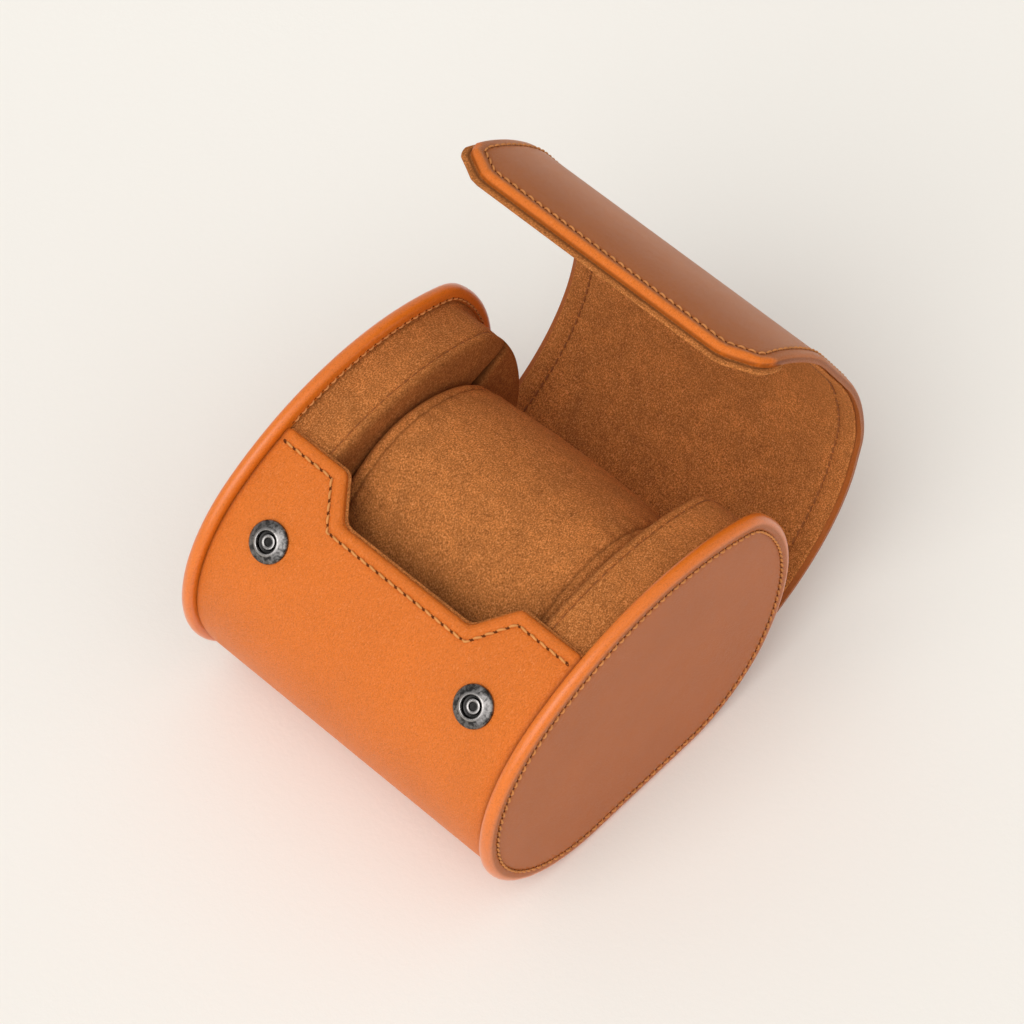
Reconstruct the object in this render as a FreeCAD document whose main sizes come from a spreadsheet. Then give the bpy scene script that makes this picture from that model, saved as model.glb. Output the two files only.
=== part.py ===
"""A rolled travel case: a leather shell between two end caps, a lid of three panels and a suede cushion."""
import FreeCAD, Part
import math
import os
import Sketcher

os.makedirs("parts", exist_ok=True)
doc = FreeCAD.newDocument("TravelCase")
sheet = doc.addObject("Spreadsheet::Sheet", "Sizes")
Vector = FreeCAD.Vector
X_AXIS = Vector(1, 0, 0)
FULL_TURN = 360
HALF_TURN = 180
QUARTER_TURN = 90


class Measure(float):
    """A number that also carries the formula by which the sheet gives it."""

    def __new__(cls, value, formula):
        number = float.__new__(cls, value)
        number.formula = formula
        return number

    def __add__(self, other):
        return Measure(float(self) + float(other), f"({self.formula} + {formula_of(other)})")

    def __radd__(self, other):
        return Measure(float(other) + float(self), f"({formula_of(other)} + {self.formula})")

    def __sub__(self, other):
        return Measure(float(self) - float(other), f"({self.formula} - {formula_of(other)})")

    def __rsub__(self, other):
        return Measure(float(other) - float(self), f"({formula_of(other)} - {self.formula})")

    def __mul__(self, other):
        return Measure(float(self) * float(other), f"({self.formula} * {formula_of(other)})")

    __rmul__ = __mul__

    def __truediv__(self, other):
        return Measure(float(self) / float(other), f"({self.formula} / {formula_of(other)})")

    def __neg__(self):
        return Measure(-float(self), f"(-1 * {self.formula})")


def formula_of(number):
    return number.formula if isinstance(number, Measure) else repr(float(number))


def sine(angle):
    return Measure(math.sin(math.radians(angle)), f"sin({formula_of(angle)})")


def cosine(angle):
    return Measure(math.cos(math.radians(angle)), f"cos({formula_of(angle)})")


def root(square):
    return Measure(math.sqrt(square), f"sqrt({formula_of(square)})")


def size(name, value):
    """Writes one driving size into the sheet and hands it back with its formula."""
    size.row += 1
    sheet.set(f"A{size.row}", name)
    sheet.set(f"B{size.row}", str(value))
    sheet.setAlias(f"B{size.row}", name)
    return Measure(value, f"Sizes.{name}")


size.row = 0

# Whole case, in millimetres and degrees
case_length = size("case_length", 100.0)
overrun = size("overrun", 4.0)
layer_fit = size("layer_fit", 0.05)
soft_gap = size("soft_gap", 0.3)

# Outline of the end caps: arcs that meet in a smooth line, each ending at a direction
# counted from the back (+Y) over the top
flat_back = size("flat_back", 16.7)
low_back_radius = size("low_back_radius", 32.0)
back_radius = size("back_radius", 51.5)
shoulder_radius = size("shoulder_radius", 15.2)
crown_radius = size("crown_radius", 73.3)
nose_radius = size("nose_radius", 40.0)
low_back_turn = size("low_back_turn", -29.6)
back_turn = size("back_turn", 35.2)
shoulder_turn = size("shoulder_turn", 65.1)
crown_turn = size("crown_turn", 123.8)
nose_turn = size("nose_turn", 188.7)

# End caps
rim_width = size("rim_width", 5.0)
rim_outer_round = size("rim_outer_round", 2.0)
rim_inner_round = size("rim_inner_round", 1.4)
cap_leather = size("cap_leather", 1.2)
cap_turn_in = size("cap_turn_in", 9.0)

# Layers of the shell and of the lid, from the outside in
shell_inset = size("shell_inset", 1.6)
leather = size("leather", 1.2)
board = size("board", 0.8)
suede = size("suede", 0.8)
hem = size("hem", 6.0)

# Front edge of the shell, with its notch
front_edge_turn = size("front_edge_turn", 108.8)
notch_side = size("notch_side", 17.5)
notch_slope = size("notch_slope", 7.5)
notch_depth = size("notch_depth", 10.5)
notch_hem = size("notch_hem", 4.5)

# Cheeks: the suede pads inside the end caps
cheek_width = size("cheek_width", 12.5)
cheek_suede = size("cheek_suede", 1.0)
cheek_roll = size("cheek_roll", 2.0)
cheek_face_depth = size("cheek_face_depth", 2.5)

# Lid
hinge_turn = size("hinge_turn", -52.0)
fold_turn = size("fold_turn", 40.0)
run_turn = size("run_turn", 91.0)
run_length = size("run_length", 21.5)
flap_end_turn = size("flap_end_turn", 143.5)
flap_lift = size("flap_lift", 3.4)
lid_side_gap = size("lid_side_gap", 0.4)
suede_margin = size("suede_margin", 0.4)
suede_lip = size("suede_lip", 0.6)
fold_gap = size("fold_gap", 0.3)
corner_width = size("corner_width", 10.0)
corner_depth = size("corner_depth", 5.0)
hinge_open = size("hinge_open", 42.0)
fold_open = size("fold_open", 21.0)
flap_open = size("flap_open", 6.0)

# Snap fasteners
snap_side = size("snap_side", 12.5)
snap_turn = size("snap_turn", 132.0)
snap_radius = size("snap_radius", 5.2)
snap_height = size("snap_height", 1.6)
snap_seat = size("snap_seat", 0.35)
snap_edge = size("snap_edge", 0.6)
snap_lip_radius = size("snap_lip_radius", 3.3)
snap_mouth_radius = size("snap_mouth_radius", 2.75)
snap_floor = size("snap_floor", 0.3)
post_radius = size("post_radius", 1.25)
post_bore = size("post_bore", 0.65)
post_flange_radius = size("post_flange_radius", 3.0)
post_flange = size("post_flange", 0.3)
post_rise = size("post_rise", 0.25)
post_head_radius = size("post_head_radius", 1.9)
stud_radius = size("stud_radius", 2.1)
stud_flange_radius = size("stud_flange_radius", 4.0)
stud_flange = size("stud_flange", 0.4)
stud_sunk = size("stud_sunk", 0.3)
stud_tip_height = size("stud_tip_height", 0.9)
stud_post_radius = size("stud_post_radius", 1.0)
stud_cap_radius = size("stud_cap_radius", 2.6)
stud_cap = size("stud_cap", 0.3)

# Cushion
cushion_centre = size("cushion_centre", 5.0)
cushion_half_depth = size("cushion_half_depth", 32.6)
cushion_height = size("cushion_height", 69.6)
cushion_top_radius = size("cushion_top_radius", 29.5)
cushion_suede = size("cushion_suede", 0.9)
cushion_seam_inset = size("cushion_seam_inset", 4.0)

doc.recompute()
half_length = case_length / 2
rim_face = half_length - rim_width
notch_top_half = rim_face - notch_side
notch_base_half = notch_top_half - notch_slope
snap_half_spacing = rim_face - snap_side
TINY = overrun / 1e6

# The outline: its directions, its radii and the centres that follow from them
RADII = [low_back_radius, back_radius, shoulder_radius, crown_radius, nose_radius]
TURNS = [Measure(-QUARTER_TURN, "-90"), low_back_turn, back_turn, shoulder_turn, crown_turn, nose_turn]
rise = Measure(0, "0")
for radius, first, last in zip(RADII, TURNS, TURNS[1:]):
    rise = rise + radius * (sine(last) - sine(first))
low_front_radius = rise / (sine(nose_turn) + 1)
RADII.append(low_front_radius)
TURNS.append(Measure(FULL_TURN - QUARTER_TURN, "270"))
CENTRES = [(flat_back, low_back_radius)]
for index in range(1, len(RADII)):
    step = RADII[index - 1] - RADII[index]
    across, up = CENTRES[-1]
    turn = TURNS[index]
    CENTRES.append((across + step * cosine(turn), up + step * sine(turn)))
flat_front = CENTRES[-1][0]


def arc_at(direction):
    """The number of the outline's arc that faces a direction."""
    direction = float(direction)
    while direction > TURNS[-1]:
        direction -= FULL_TURN
    for index in range(len(RADII)):
        if direction <= TURNS[index + 1]:
            return index
    return len(RADII) - 1


def outline_point(direction, inset):
    """The point, as Y and Z, that faces a direction at an inset from the outline."""
    index = arc_at(direction)
    across, up = CENTRES[index]
    reach = RADII[index] - inset
    return across + reach * cosine(direction), up + reach * sine(direction)


def path(inset, first, last, run=0, trim_first=0, trim_last=0):
    """The stretches of the outline at an inset, from one direction to another, and then a straight run."""
    first = first + math.degrees(trim_first / (RADII[arc_at(first)] - inset))
    if not run:
        last = last - math.degrees(trim_last / (RADII[arc_at(last)] - inset))
    stretches = []
    for lap in (0, FULL_TURN):
        for index, radius in enumerate(RADII):
            low = max(float(first), TURNS[index] + lap)
            high = min(float(last), TURNS[index + 1] + lap)
            if high - low > TINY:
                stretches.append(("arc", CENTRES[index], radius - inset, low, high))
        base = TURNS[-1] + lap
        if first < base < last:
            stretches.append(("line", (flat_front, inset), (flat_back, inset)))
    if run:
        across, up = outline_point(last, inset)
        reach = run - trim_last
        stretches.append(("line", (across, up), (across - reach * sine(last), up + reach * cosine(last))))
    return stretches


def plane_of(body, role):
    for feature in body.Origin.OriginFeatures:
        if feature.Role == role:
            return feature
    raise ValueError(role)


def new_body(label):
    body = doc.addObject("PartDesign::Body", label)
    body.Label = label
    return body


def sketch_on(body, name, role="YZ_Plane", offset=None, tilt=None):
    """A sketch on one of its body's own planes, moved along the normal or tilted about X."""
    sketch = body.newObject("Sketcher::SketchObject", f"{body.Label}_{name}")
    sketch.AttachmentSupport = [(plane_of(body, role), "")]
    sketch.MapMode = "FlatFace"
    if offset is not None:
        sketch.AttachmentOffset = FreeCAD.Placement(Vector(0, 0, offset), FreeCAD.Rotation())
        sketch.setExpression("AttachmentOffset.Base.z", formula_of(offset))
    if tilt is not None:
        (across, up), angle = tilt
        turn = FreeCAD.Rotation(X_AXIS, float(angle))
        sketch.AttachmentOffset = FreeCAD.Placement(Vector(0, across, up), turn)
        sketch.setExpression("AttachmentOffset.Base.y", formula_of(across))
        sketch.setExpression("AttachmentOffset.Base.z", formula_of(up))
        sketch.setExpression("AttachmentOffset.Rotation.Angle", formula_of(angle))
    return sketch


def bind(sketch, index, name, value):
    sketch.renameConstraint(index, name)
    sketch.setExpression(f"Constraints.{name}", formula_of(value))


def draw_path(sketch, stretches, name):
    """Draws a path, each stretch tangent to the next, and binds its radii. Returns the stretches' numbers."""
    numbers = []
    for stretch in stretches:
        if stretch[0] == "arc":
            _, (across, up), radius, low, high = stretch
            circle = Part.Circle(Vector(across, up, 0), Vector(0, 0, 1), radius)
            arc = Part.ArcOfCircle(circle, math.radians(low), math.radians(high))
            numbers.append(sketch.addGeometry(arc, False))
            bound = sketch.addConstraint(Sketcher.Constraint("Radius", numbers[-1], radius))
            bind(sketch, bound, f"{name}_radius_{len(numbers)}", radius)
        else:
            start, end = (Vector(across, up, 0) for across, up in stretch[1:])
            numbers.append(sketch.addGeometry(Part.LineSegment(start, end), False))
    for before, after in zip(numbers, numbers[1:]):
        sketch.addConstraint(Sketcher.Constraint("Tangent", before, 2, after, 1))
    return numbers


def outline_sketch(body, name, inset, offset):
    """The whole outline at an inset, closed by its flat base."""
    sketch = sketch_on(body, name, offset=offset)
    stretches = path(inset, TURNS[0], TURNS[-1])
    stretches.append(("line", (flat_front, inset), (flat_back, inset)))
    numbers = draw_path(sketch, stretches, "outline")
    sketch.addConstraint(Sketcher.Constraint("Tangent", numbers[-1], 2, numbers[0], 1))
    height = sketch.addConstraint(Sketcher.Constraint("DistanceY", -1, 1, numbers[-1], 1, inset))
    bind(sketch, height, "base_height", inset)
    reach = sketch.addConstraint(Sketcher.Constraint("DistanceX", -1, 1, numbers[-1], 2, flat_back))
    bind(sketch, reach, "base_back", flat_back)
    return sketch


def band_sketch(body, name, outer, inner):
    """A closed band between an outer and an inner path."""
    sketch = sketch_on(body, name)
    outside = draw_path(sketch, outer, "outer")
    inside = draw_path(sketch, inner, "inner")
    for at, outer_number, inner_number in ((1, outside[0], inside[0]), (2, outside[-1], inside[-1])):
        start, end = (sketch.getPoint(number, at) for number in (outer_number, inner_number))
        closing = sketch.addGeometry(Part.LineSegment(start, end), False)
        sketch.addConstraint(Sketcher.Constraint("Coincident", closing, 1, outer_number, at))
        sketch.addConstraint(Sketcher.Constraint("Coincident", closing, 2, inner_number, at))
    return sketch


def place_point(sketch, number, at, name, across, up):
    """Ties one point of a sketch to the sheet, from the sketch's own origin."""
    if abs(across) < TINY:
        sketch.addConstraint(Sketcher.Constraint("PointOnObject", number, at, -2))
    else:
        index = sketch.addConstraint(Sketcher.Constraint("DistanceX", -1, 1, number, at, across))
        bind(sketch, index, f"{name}_across", across)
    if abs(up) < TINY:
        sketch.addConstraint(Sketcher.Constraint("PointOnObject", number, at, -1))
    else:
        index = sketch.addConstraint(Sketcher.Constraint("DistanceY", -1, 1, number, at, up))
        bind(sketch, index, f"{name}_up", up)


def draw_polygon(sketch, points, name):
    """A closed polygon with every corner tied to the sheet."""
    corners = [Vector(across, up, 0) for across, up in points]
    numbers = []
    for start, end in zip(corners, corners[1:] + corners[:1]):
        numbers.append(sketch.addGeometry(Part.LineSegment(start, end), False))
    for before, after in zip(numbers, numbers[1:] + numbers[:1]):
        sketch.addConstraint(Sketcher.Constraint("Coincident", before, 2, after, 1))
    for number, (across, up) in zip(numbers, points):
        place_point(sketch, number, 1, f"{name}_{number}", across, up)


def draw_circle(sketch, across, up, radius, name):
    circle = Part.Circle(Vector(across, up, 0), Vector(0, 0, 1), radius)
    number = sketch.addGeometry(circle, False)
    bound = sketch.addConstraint(Sketcher.Constraint("Radius", number, radius))
    bind(sketch, bound, f"{name}_radius", radius)
    place_point(sketch, number, 3, name, across, up)


def pad(body, sketch, length, both_ways=False):
    feature = body.newObject("PartDesign::Pad", f"{sketch.Name}_pad")
    feature.Profile = sketch
    feature.Length = length
    feature.setExpression("Length", formula_of(length))
    if both_ways:
        feature.SideType = "Symmetric"
    doc.recompute()
    return feature


def pocket(body, sketch, length, both_ways=False, may_miss=False):
    """Cuts a sketch into its body, against the sketch's normal. Unless it may miss, something has to go."""
    before = body.Shape.Volume
    feature = body.newObject("PartDesign::Pocket", f"{sketch.Name}_pocket")
    feature.Profile = sketch
    feature.Length = length
    feature.setExpression("Length", formula_of(length))
    if both_ways:
        feature.SideType = "Symmetric"
    doc.recompute()
    if body.Shape.Volume > before - TINY and not may_miss:
        raise ValueError(f"{sketch.Name} cuts nothing")
    return feature


def roll(place, towards, inset, radius, strips):
    """Where the sections of a rolled edge lie, as place along X and inset, from its flat face to its crest."""
    stations = []
    for strip in range(strips + 1):
        angle = QUARTER_TURN * strip / strips
        stations.append((place + towards * radius * (1 - cosine(angle)), inset + radius * (1 - sine(angle))))
    return stations


def rolled(body, stations):
    """A solid through outlines at several places along X, with one strip between each two."""
    sketches = []
    for number, (place, inset) in enumerate(stations):
        sketches.append(outline_sketch(body, f"section_{number}", inset, place))
    feature = body.newObject("PartDesign::AdditiveLoft", f"{body.Label}_loft")
    feature.Profile = sketches[0]
    feature.Sections = sketches[1:]
    feature.Ruled = True
    doc.recompute()
    return feature


def spin(body, points):
    """Revolves a closed half section, given as radius and height, about the body's Z axis."""
    sketch = sketch_on(body, "section", role="XZ_Plane")
    draw_polygon(sketch, points, "section")
    feature = body.newObject("PartDesign::Revolution", f"{body.Label}_spin")
    feature.Profile = sketch
    feature.ReferenceAxis = (sketch, ["V_Axis"])
    feature.Angle = FULL_TURN
    doc.recompute()
    return feature


def span(side, near, far):
    """The low and high X of a slab that lies from near to far outwards, on one side of the case."""
    return (near, far) if side > 0 else (-far, -near)


def slab(body, name, inset, low, high):
    """A slab of the outline's shape between two places along X."""
    return pad(body, outline_sketch(body, name, inset, low), high - low)


def hollow(body, name, inset, low, high):
    """A pocket of the outline's shape between two places along X."""
    return pocket(body, outline_sketch(body, name, inset, high), high - low)


SIDES = (("right", 1), ("left", -1))
ROLL_STRIPS = 2
TIGHT_ROLL_STRIPS = 1
PARTS = {}


def keep(thing):
    PARTS[thing.Label] = thing
    return thing


# End caps: leather turned round a stiff board, open on the inside where the cheek sits
board_fit = cap_leather + layer_fit
cheek_inset = shell_inset + leather + board + suede + soft_gap
cheek_face = rim_face - cheek_width
for side_name, side in SIDES:
    cover = keep(new_body(f"end_cover_{side_name}"))
    outer_roll = roll(side * half_length, -side, Measure(0, "0"), rim_outer_round, ROLL_STRIPS)
    inner_roll = roll(side * rim_face, side, Measure(0, "0"), rim_inner_round, TIGHT_ROLL_STRIPS)
    rolled(cover, outer_roll + inner_roll[::-1])
    low, high = span(side, rim_face + cap_leather, half_length - cap_leather)
    hollow(cover, "board_room", cap_leather, low, high)
    low, high = span(side, rim_face, rim_face + cap_leather)
    hollow(cover, "opening", cap_turn_in, low, high)

    stiffener = keep(new_body(f"end_board_{side_name}"))
    low, high = span(side, rim_face + board_fit, half_length - board_fit)
    slab(stiffener, "disc", board_fit, low, high)

    foam_inset = cheek_inset + cheek_suede + layer_fit
    foam = keep(new_body(f"cheek_foam_{side_name}"))
    low, high = span(side, cheek_face + cheek_face_depth + layer_fit, rim_face)
    slab(foam, "disc", foam_inset, low, high)

    band = keep(new_body(f"cheek_band_{side_name}"))
    low, high = span(side, cheek_face + cheek_face_depth, rim_face)
    slab(band, "ring", cheek_inset, low, high)
    hollow(band, "bore", cheek_inset + cheek_suede, low, high)

    face = keep(new_body(f"cheek_face_{side_name}"))
    face_roll = roll(side * cheek_face, side, cheek_inset, cheek_roll, ROLL_STRIPS)
    rolled(face, face_roll + [(side * (cheek_face + cheek_face_depth), cheek_inset)])

# Shell: front, base and low back in one strip of three layers
shell_first = front_edge_turn
shell_last = hinge_turn + FULL_TURN
half_gap = fold_gap / 2
leather_inner = shell_inset + leather + board
suede_inner = leather_inner + suede


def tangent_plane(direction, inset):
    """Where a tilted sketch lies: at a point of the outline, its Y axis along the surface towards the front."""
    return outline_point(direction, inset), direction + QUARTER_TURN


def cut_notch(body):
    """The notch in the shell's front edge, with sloping sides."""
    middle = front_edge_turn + math.degrees(notch_depth / (2 * crown_radius))
    (across, up), angle = tangent_plane(middle, shell_inset)
    sketch = sketch_on(body, "notch", role="XY_Plane", tilt=((across, up), angle))
    top = -notch_depth / 2
    base = notch_depth / 2
    draw_polygon(sketch, [(-notch_top_half, top), (-notch_base_half, base), (notch_base_half, base),
                          (notch_top_half, top), (notch_top_half, top - overrun),
                          (-notch_top_half, top - overrun)], "notch")
    pocket(body, sketch, (leather_inner + overrun) * 2, both_ways=True)


def cut_pair(body, name, frame, radius, depth, both_ways=False, may_miss=False):
    """Two round cuts, one for each snap, in a plane square to the snaps' axis."""
    sketch = sketch_on(body, name, role="XY_Plane", tilt=frame)
    draw_circle(sketch, snap_half_spacing, 0, radius, "right")
    draw_circle(sketch, -snap_half_spacing, 0, radius, "left")
    pocket(body, sketch, depth, both_ways, may_miss)


snap_frame = tangent_plane(snap_turn, shell_inset)
post_hole = post_radius + layer_fit

shell_leather = keep(new_body("shell_leather"))
outer = path(shell_inset, shell_first, shell_last, trim_last=half_gap)
inner = path(leather_inner, shell_first, shell_last, trim_last=half_gap)
pad(shell_leather, band_sketch(shell_leather, "band", outer, inner), rim_face * 2, both_ways=True)
board_outer = shell_inset + leather
outer = path(board_outer, shell_first, shell_last, trim_first=notch_depth + notch_hem, trim_last=-overrun)
inner = path(leather_inner + overrun, shell_first, shell_last, trim_first=notch_depth + notch_hem,
             trim_last=-overrun)
board_room = band_sketch(shell_leather, "board_room", outer, inner)
pocket(shell_leather, board_room, (rim_face - hem) * 2, both_ways=True)
cut_notch(shell_leather)

shell_board = keep(new_body("shell_board"))
outer = path(board_outer + layer_fit, shell_first, shell_last,
             trim_first=notch_depth + notch_hem + layer_fit, trim_last=half_gap)
inner = path(leather_inner, shell_first, shell_last,
             trim_first=notch_depth + notch_hem + layer_fit, trim_last=half_gap)
board_half = rim_face - hem - layer_fit
pad(shell_board, band_sketch(shell_board, "band", outer, inner), board_half * 2, both_ways=True)

shell_lining = keep(new_body("shell_lining"))
outer = path(leather_inner, shell_first, shell_last, trim_first=-suede_lip, trim_last=half_gap)
inner = path(suede_inner, shell_first, shell_last, trim_first=-suede_lip, trim_last=half_gap)
pad(shell_lining, band_sketch(shell_lining, "band", outer, inner), rim_face * 2, both_ways=True)
cut_notch(shell_lining)

# Snap sockets on the shell: a pressed ring, and a hollow post clenched behind the board
cut_pair(shell_leather, "snap_seat", snap_frame, snap_radius + layer_fit, snap_seat * 2, both_ways=True)
cut_pair(shell_leather, "post_hole", snap_frame, post_hole, leather_inner * 2, both_ways=True)
cut_pair(shell_board, "post_hole", snap_frame, post_hole, leather_inner * 2, both_ways=True)
flange_sag = post_flange_radius * post_flange_radius / (2 * (nose_radius - leather_inner))
flange_top = leather + board + flange_sag + layer_fit
flange_low = flange_top + post_flange
flange_frame = tangent_plane(snap_turn, shell_inset + flange_low + layer_fit)
cut_pair(shell_lining, "flange_seat", flange_frame, post_flange_radius + layer_fit, overrun)

# Lid: three panels, drawn as they lie when the case is closed
lid_half = rim_face - lid_side_gap
lid_thickness = leather + board + suede


def turned(point, centre, angle):
    """A point, as Y and Z, after a turn about X."""
    across, up = point[0] - centre[0], point[1] - centre[1]
    return (centre[0] + across * cosine(angle) - up * sine(angle),
            centre[1] + across * sine(angle) + up * cosine(angle))


hinge_line = outline_point(hinge_turn, shell_inset)
fold_line = outline_point(fold_turn, shell_inset)
run_start = outline_point(run_turn, shell_inset)
flap_line = (run_start[0] - run_length * sine(run_turn), run_start[1] + run_length * cosine(run_turn))
crown_centre = CENTRES[RADII.index(crown_radius)]
nose_centre = CENTRES[RADII.index(nose_radius)]
flap_across = flap_line[0] - crown_centre[0]
flap_up = flap_line[1] - crown_centre[1]
flap_inset = crown_radius - root(flap_across * flap_across + flap_up * flap_up)
flap_turn = math.degrees(math.atan2(flap_up, flap_across))
flap_kink = flap_turn - run_turn - flap_lift


def lid_layer(label, inset, depths, turns, run, trims, half_width):
    """One layer of a lid panel. Trims give, for a depth, how much is left off at each end."""
    layer = keep(new_body(label))
    near, far = depths
    first, last = turns
    outer = path(inset + near, first, last, run, trims[0](near), trims[1](near))
    inner = path(inset + far, first, last, run, trims[0](far), trims[1](far))
    pad(layer, band_sketch(layer, "band", outer, inner), half_width * 2, both_ways=True)
    return layer


def cut_corners(body, inset, half_width, lip):
    """Takes the two corners off the free edge of the flap."""
    frame = tangent_plane(flap_end_turn, inset)
    sketch = sketch_on(body, "corners", role="XY_Plane", tilt=frame)
    for name, side in SIDES:
        inward = side * (half_width - corner_width)
        outward = side * (half_width + overrun)
        low_end = lip - corner_depth - overrun * corner_depth / corner_width
        corners = [(inward, lip), (outward, low_end), (outward, lip + overrun), (inward, lip + overrun)]
        draw_polygon(sketch, corners, f"corner_{name}")
    pocket(body, sketch, (lid_thickness + overrun) * 2, both_ways=True)


def plain_trim(depth):
    return half_gap


def kink_trim(depth):
    return half_gap + depth * math.tan(math.radians(flap_kink / 2))


def no_trim(depth):
    return 0


LID = (("lid_back", shell_inset, (hinge_turn, fold_turn), 0, (plain_trim, plain_trim)),
       ("lid_top", shell_inset, (fold_turn, run_turn), run_length, (plain_trim, kink_trim)),
       ("lid_flap", flap_inset, (flap_turn, flap_end_turn), 0, (kink_trim, no_trim)))
LID_LAYERS = {}
leather_half = lid_half - suede_margin
for panel, inset, turns, run, trims in LID:
    skin = lid_layer(f"{panel}_leather", inset, (0, leather + board), turns, run, trims, leather_half)
    last_trim = (lambda depth: hem) if panel == "lid_flap" else (lambda depth: -overrun)
    room_trims = (lambda depth: -overrun, last_trim)
    outer = path(inset + leather, *turns, run, room_trims[0](0), room_trims[1](0))
    inner = path(inset + leather + board + overrun, *turns, run, room_trims[0](0), room_trims[1](0))
    pocket(skin, band_sketch(skin, "board_room", outer, inner), (leather_half - hem) * 2, both_ways=True)
    board_trims = (trims[0], (lambda depth: hem + layer_fit) if panel == "lid_flap" else trims[1])
    stiff = lid_layer(f"{panel}_board", inset, (leather + layer_fit, leather + board), turns, run, board_trims,
                      leather_half - hem - layer_fit)
    lining_trims = (trims[0], (lambda depth: -suede_lip) if panel == "lid_flap" else trims[1])
    lining = lid_layer(f"{panel}_suede", inset, (leather + board, lid_thickness), turns, run, lining_trims,
                       lid_half)
    LID_LAYERS[panel] = (skin, stiff, lining)
cut_corners(LID_LAYERS["lid_flap"][0], flap_inset, leather_half, 0)
cut_corners(LID_LAYERS["lid_flap"][2], flap_inset, lid_half, suede_lip)

# Where each stud sits: along its socket's axis, on the suede of the closed flap
closed_centre = turned(nose_centre, flap_line, -flap_lift)
apart = (nose_centre[0] - closed_centre[0], nose_centre[1] - closed_centre[1])
flap_suede_radius = nose_radius - flap_inset - lid_thickness
along = apart[0] * cosine(snap_turn) + apart[1] * sine(snap_turn)
square = along * along - apart[0] * apart[0] - apart[1] * apart[1] + flap_suede_radius * flap_suede_radius
stud_reach = root(square) - along
snap_gap = stud_reach - nose_radius + shell_inset
stud_seat = outline_point(snap_turn, shell_inset - snap_gap)
seat_in_flap = turned(stud_seat, flap_line, flap_lift)
stud_turn = snap_turn + flap_lift


def moved(point, direction, distance):
    """A point moved inwards, against a direction."""
    return point[0] - distance * cosine(direction), point[1] - distance * sine(direction)


stud_frame = (seat_in_flap, stud_turn + QUARTER_TURN)
sunk_frame = (moved(seat_in_flap, stud_turn, overrun), stud_turn + QUARTER_TURN)
flap_leather, flap_board, flap_suede = LID_LAYERS["lid_flap"]
cut_pair(flap_suede, "flange_seat", sunk_frame, stud_flange_radius + layer_fit, overrun + stud_sunk)
cut_pair(flap_suede, "post_hole", stud_frame, stud_post_radius + layer_fit, lid_thickness * 2, both_ways=True)
cut_pair(flap_board, "cap_room", stud_frame, stud_cap_radius + layer_fit, lid_thickness * 2, both_ways=True)
cap_depth = overrun + suede + stud_cap + layer_fit * 2
cut_pair(flap_leather, "cap_room", sunk_frame, stud_cap_radius + layer_fit, cap_depth, may_miss=True)

# Snaps
CLOSED_STUDS = []
for side_name, side in SIDES:
    outward = FreeCAD.Rotation(X_AXIS, float(snap_turn - QUARTER_TURN))
    inward = FreeCAD.Rotation(X_AXIS, float(snap_turn + QUARTER_TURN))
    across, up = outline_point(snap_turn, shell_inset)
    on_shell = FreeCAD.Placement(Vector(side * snap_half_spacing, across, up), outward)
    across, up = stud_seat
    on_flap = FreeCAD.Placement(Vector(side * snap_half_spacing, across, up), inward)

    ring = keep(new_body(f"snap_socket_{side_name}"))
    bore = post_radius + layer_fit
    spin(ring, [(bore, -snap_seat), (snap_radius, -snap_seat), (snap_radius, snap_edge),
                (snap_lip_radius + snap_edge, snap_height), (snap_mouth_radius, snap_height),
                (snap_mouth_radius, snap_floor), (bore, snap_floor)])
    ring.Placement = on_shell

    post = keep(new_body(f"socket_post_{side_name}"))
    spin(post, [(post_bore, -flange_low), (post_flange_radius, -flange_low), (post_flange_radius, -flange_top),
                (post_radius, -flange_top), (post_radius, snap_floor + layer_fit),
                (post_head_radius, snap_floor + layer_fit), (post_head_radius, snap_floor + post_rise),
                (post_bore, snap_floor + post_rise)])
    post.Placement = on_shell

    stud = keep(new_body(f"snap_stud_{side_name}"))
    flange_face = stud_flange - stud_sunk
    stud_end = snap_gap - stud_tip_height
    spin(stud, [(Measure(0, "0"), -suede - layer_fit), (stud_post_radius, -suede - layer_fit),
                (stud_post_radius, -stud_sunk), (stud_flange_radius, -stud_sunk), (stud_flange_radius, flange_face),
                (stud_radius, flange_face), (stud_radius, stud_end), (Measure(0, "0"), stud_end)])
    cap = keep(new_body(f"stud_cap_{side_name}"))
    spin(cap, [(Measure(0, "0"), -suede - layer_fit - stud_cap), (stud_cap_radius, -suede - layer_fit - stud_cap),
               (stud_cap_radius, -suede - layer_fit), (Measure(0, "0"), -suede - layer_fit)])
    CLOSED_STUDS += [(stud, on_flap), (cap, on_flap)]

# Cushion: an oval suede roll, fullest in the middle and drawn in towards its sewn, padded ends
cushion_half_length = cheek_face - soft_gap
cushion_half_height = cushion_height / 2
cushion_floor = shell_inset + lid_thickness + soft_gap
cushion_middle = cushion_floor + cushion_half_height
seam = cushion_half_length - cushion_seam_inset
SEAM_FULLNESS_SHARE = 0.968
SLEEVE_SHARES = ((-1.0, SEAM_FULLNESS_SHARE), (0.0, 1.0), (1.0, SEAM_FULLNESS_SHARE))
END_SHARES = ((0.0, SEAM_FULLNESS_SHARE), (0.67, 0.945), (1.0, 0.875))


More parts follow.
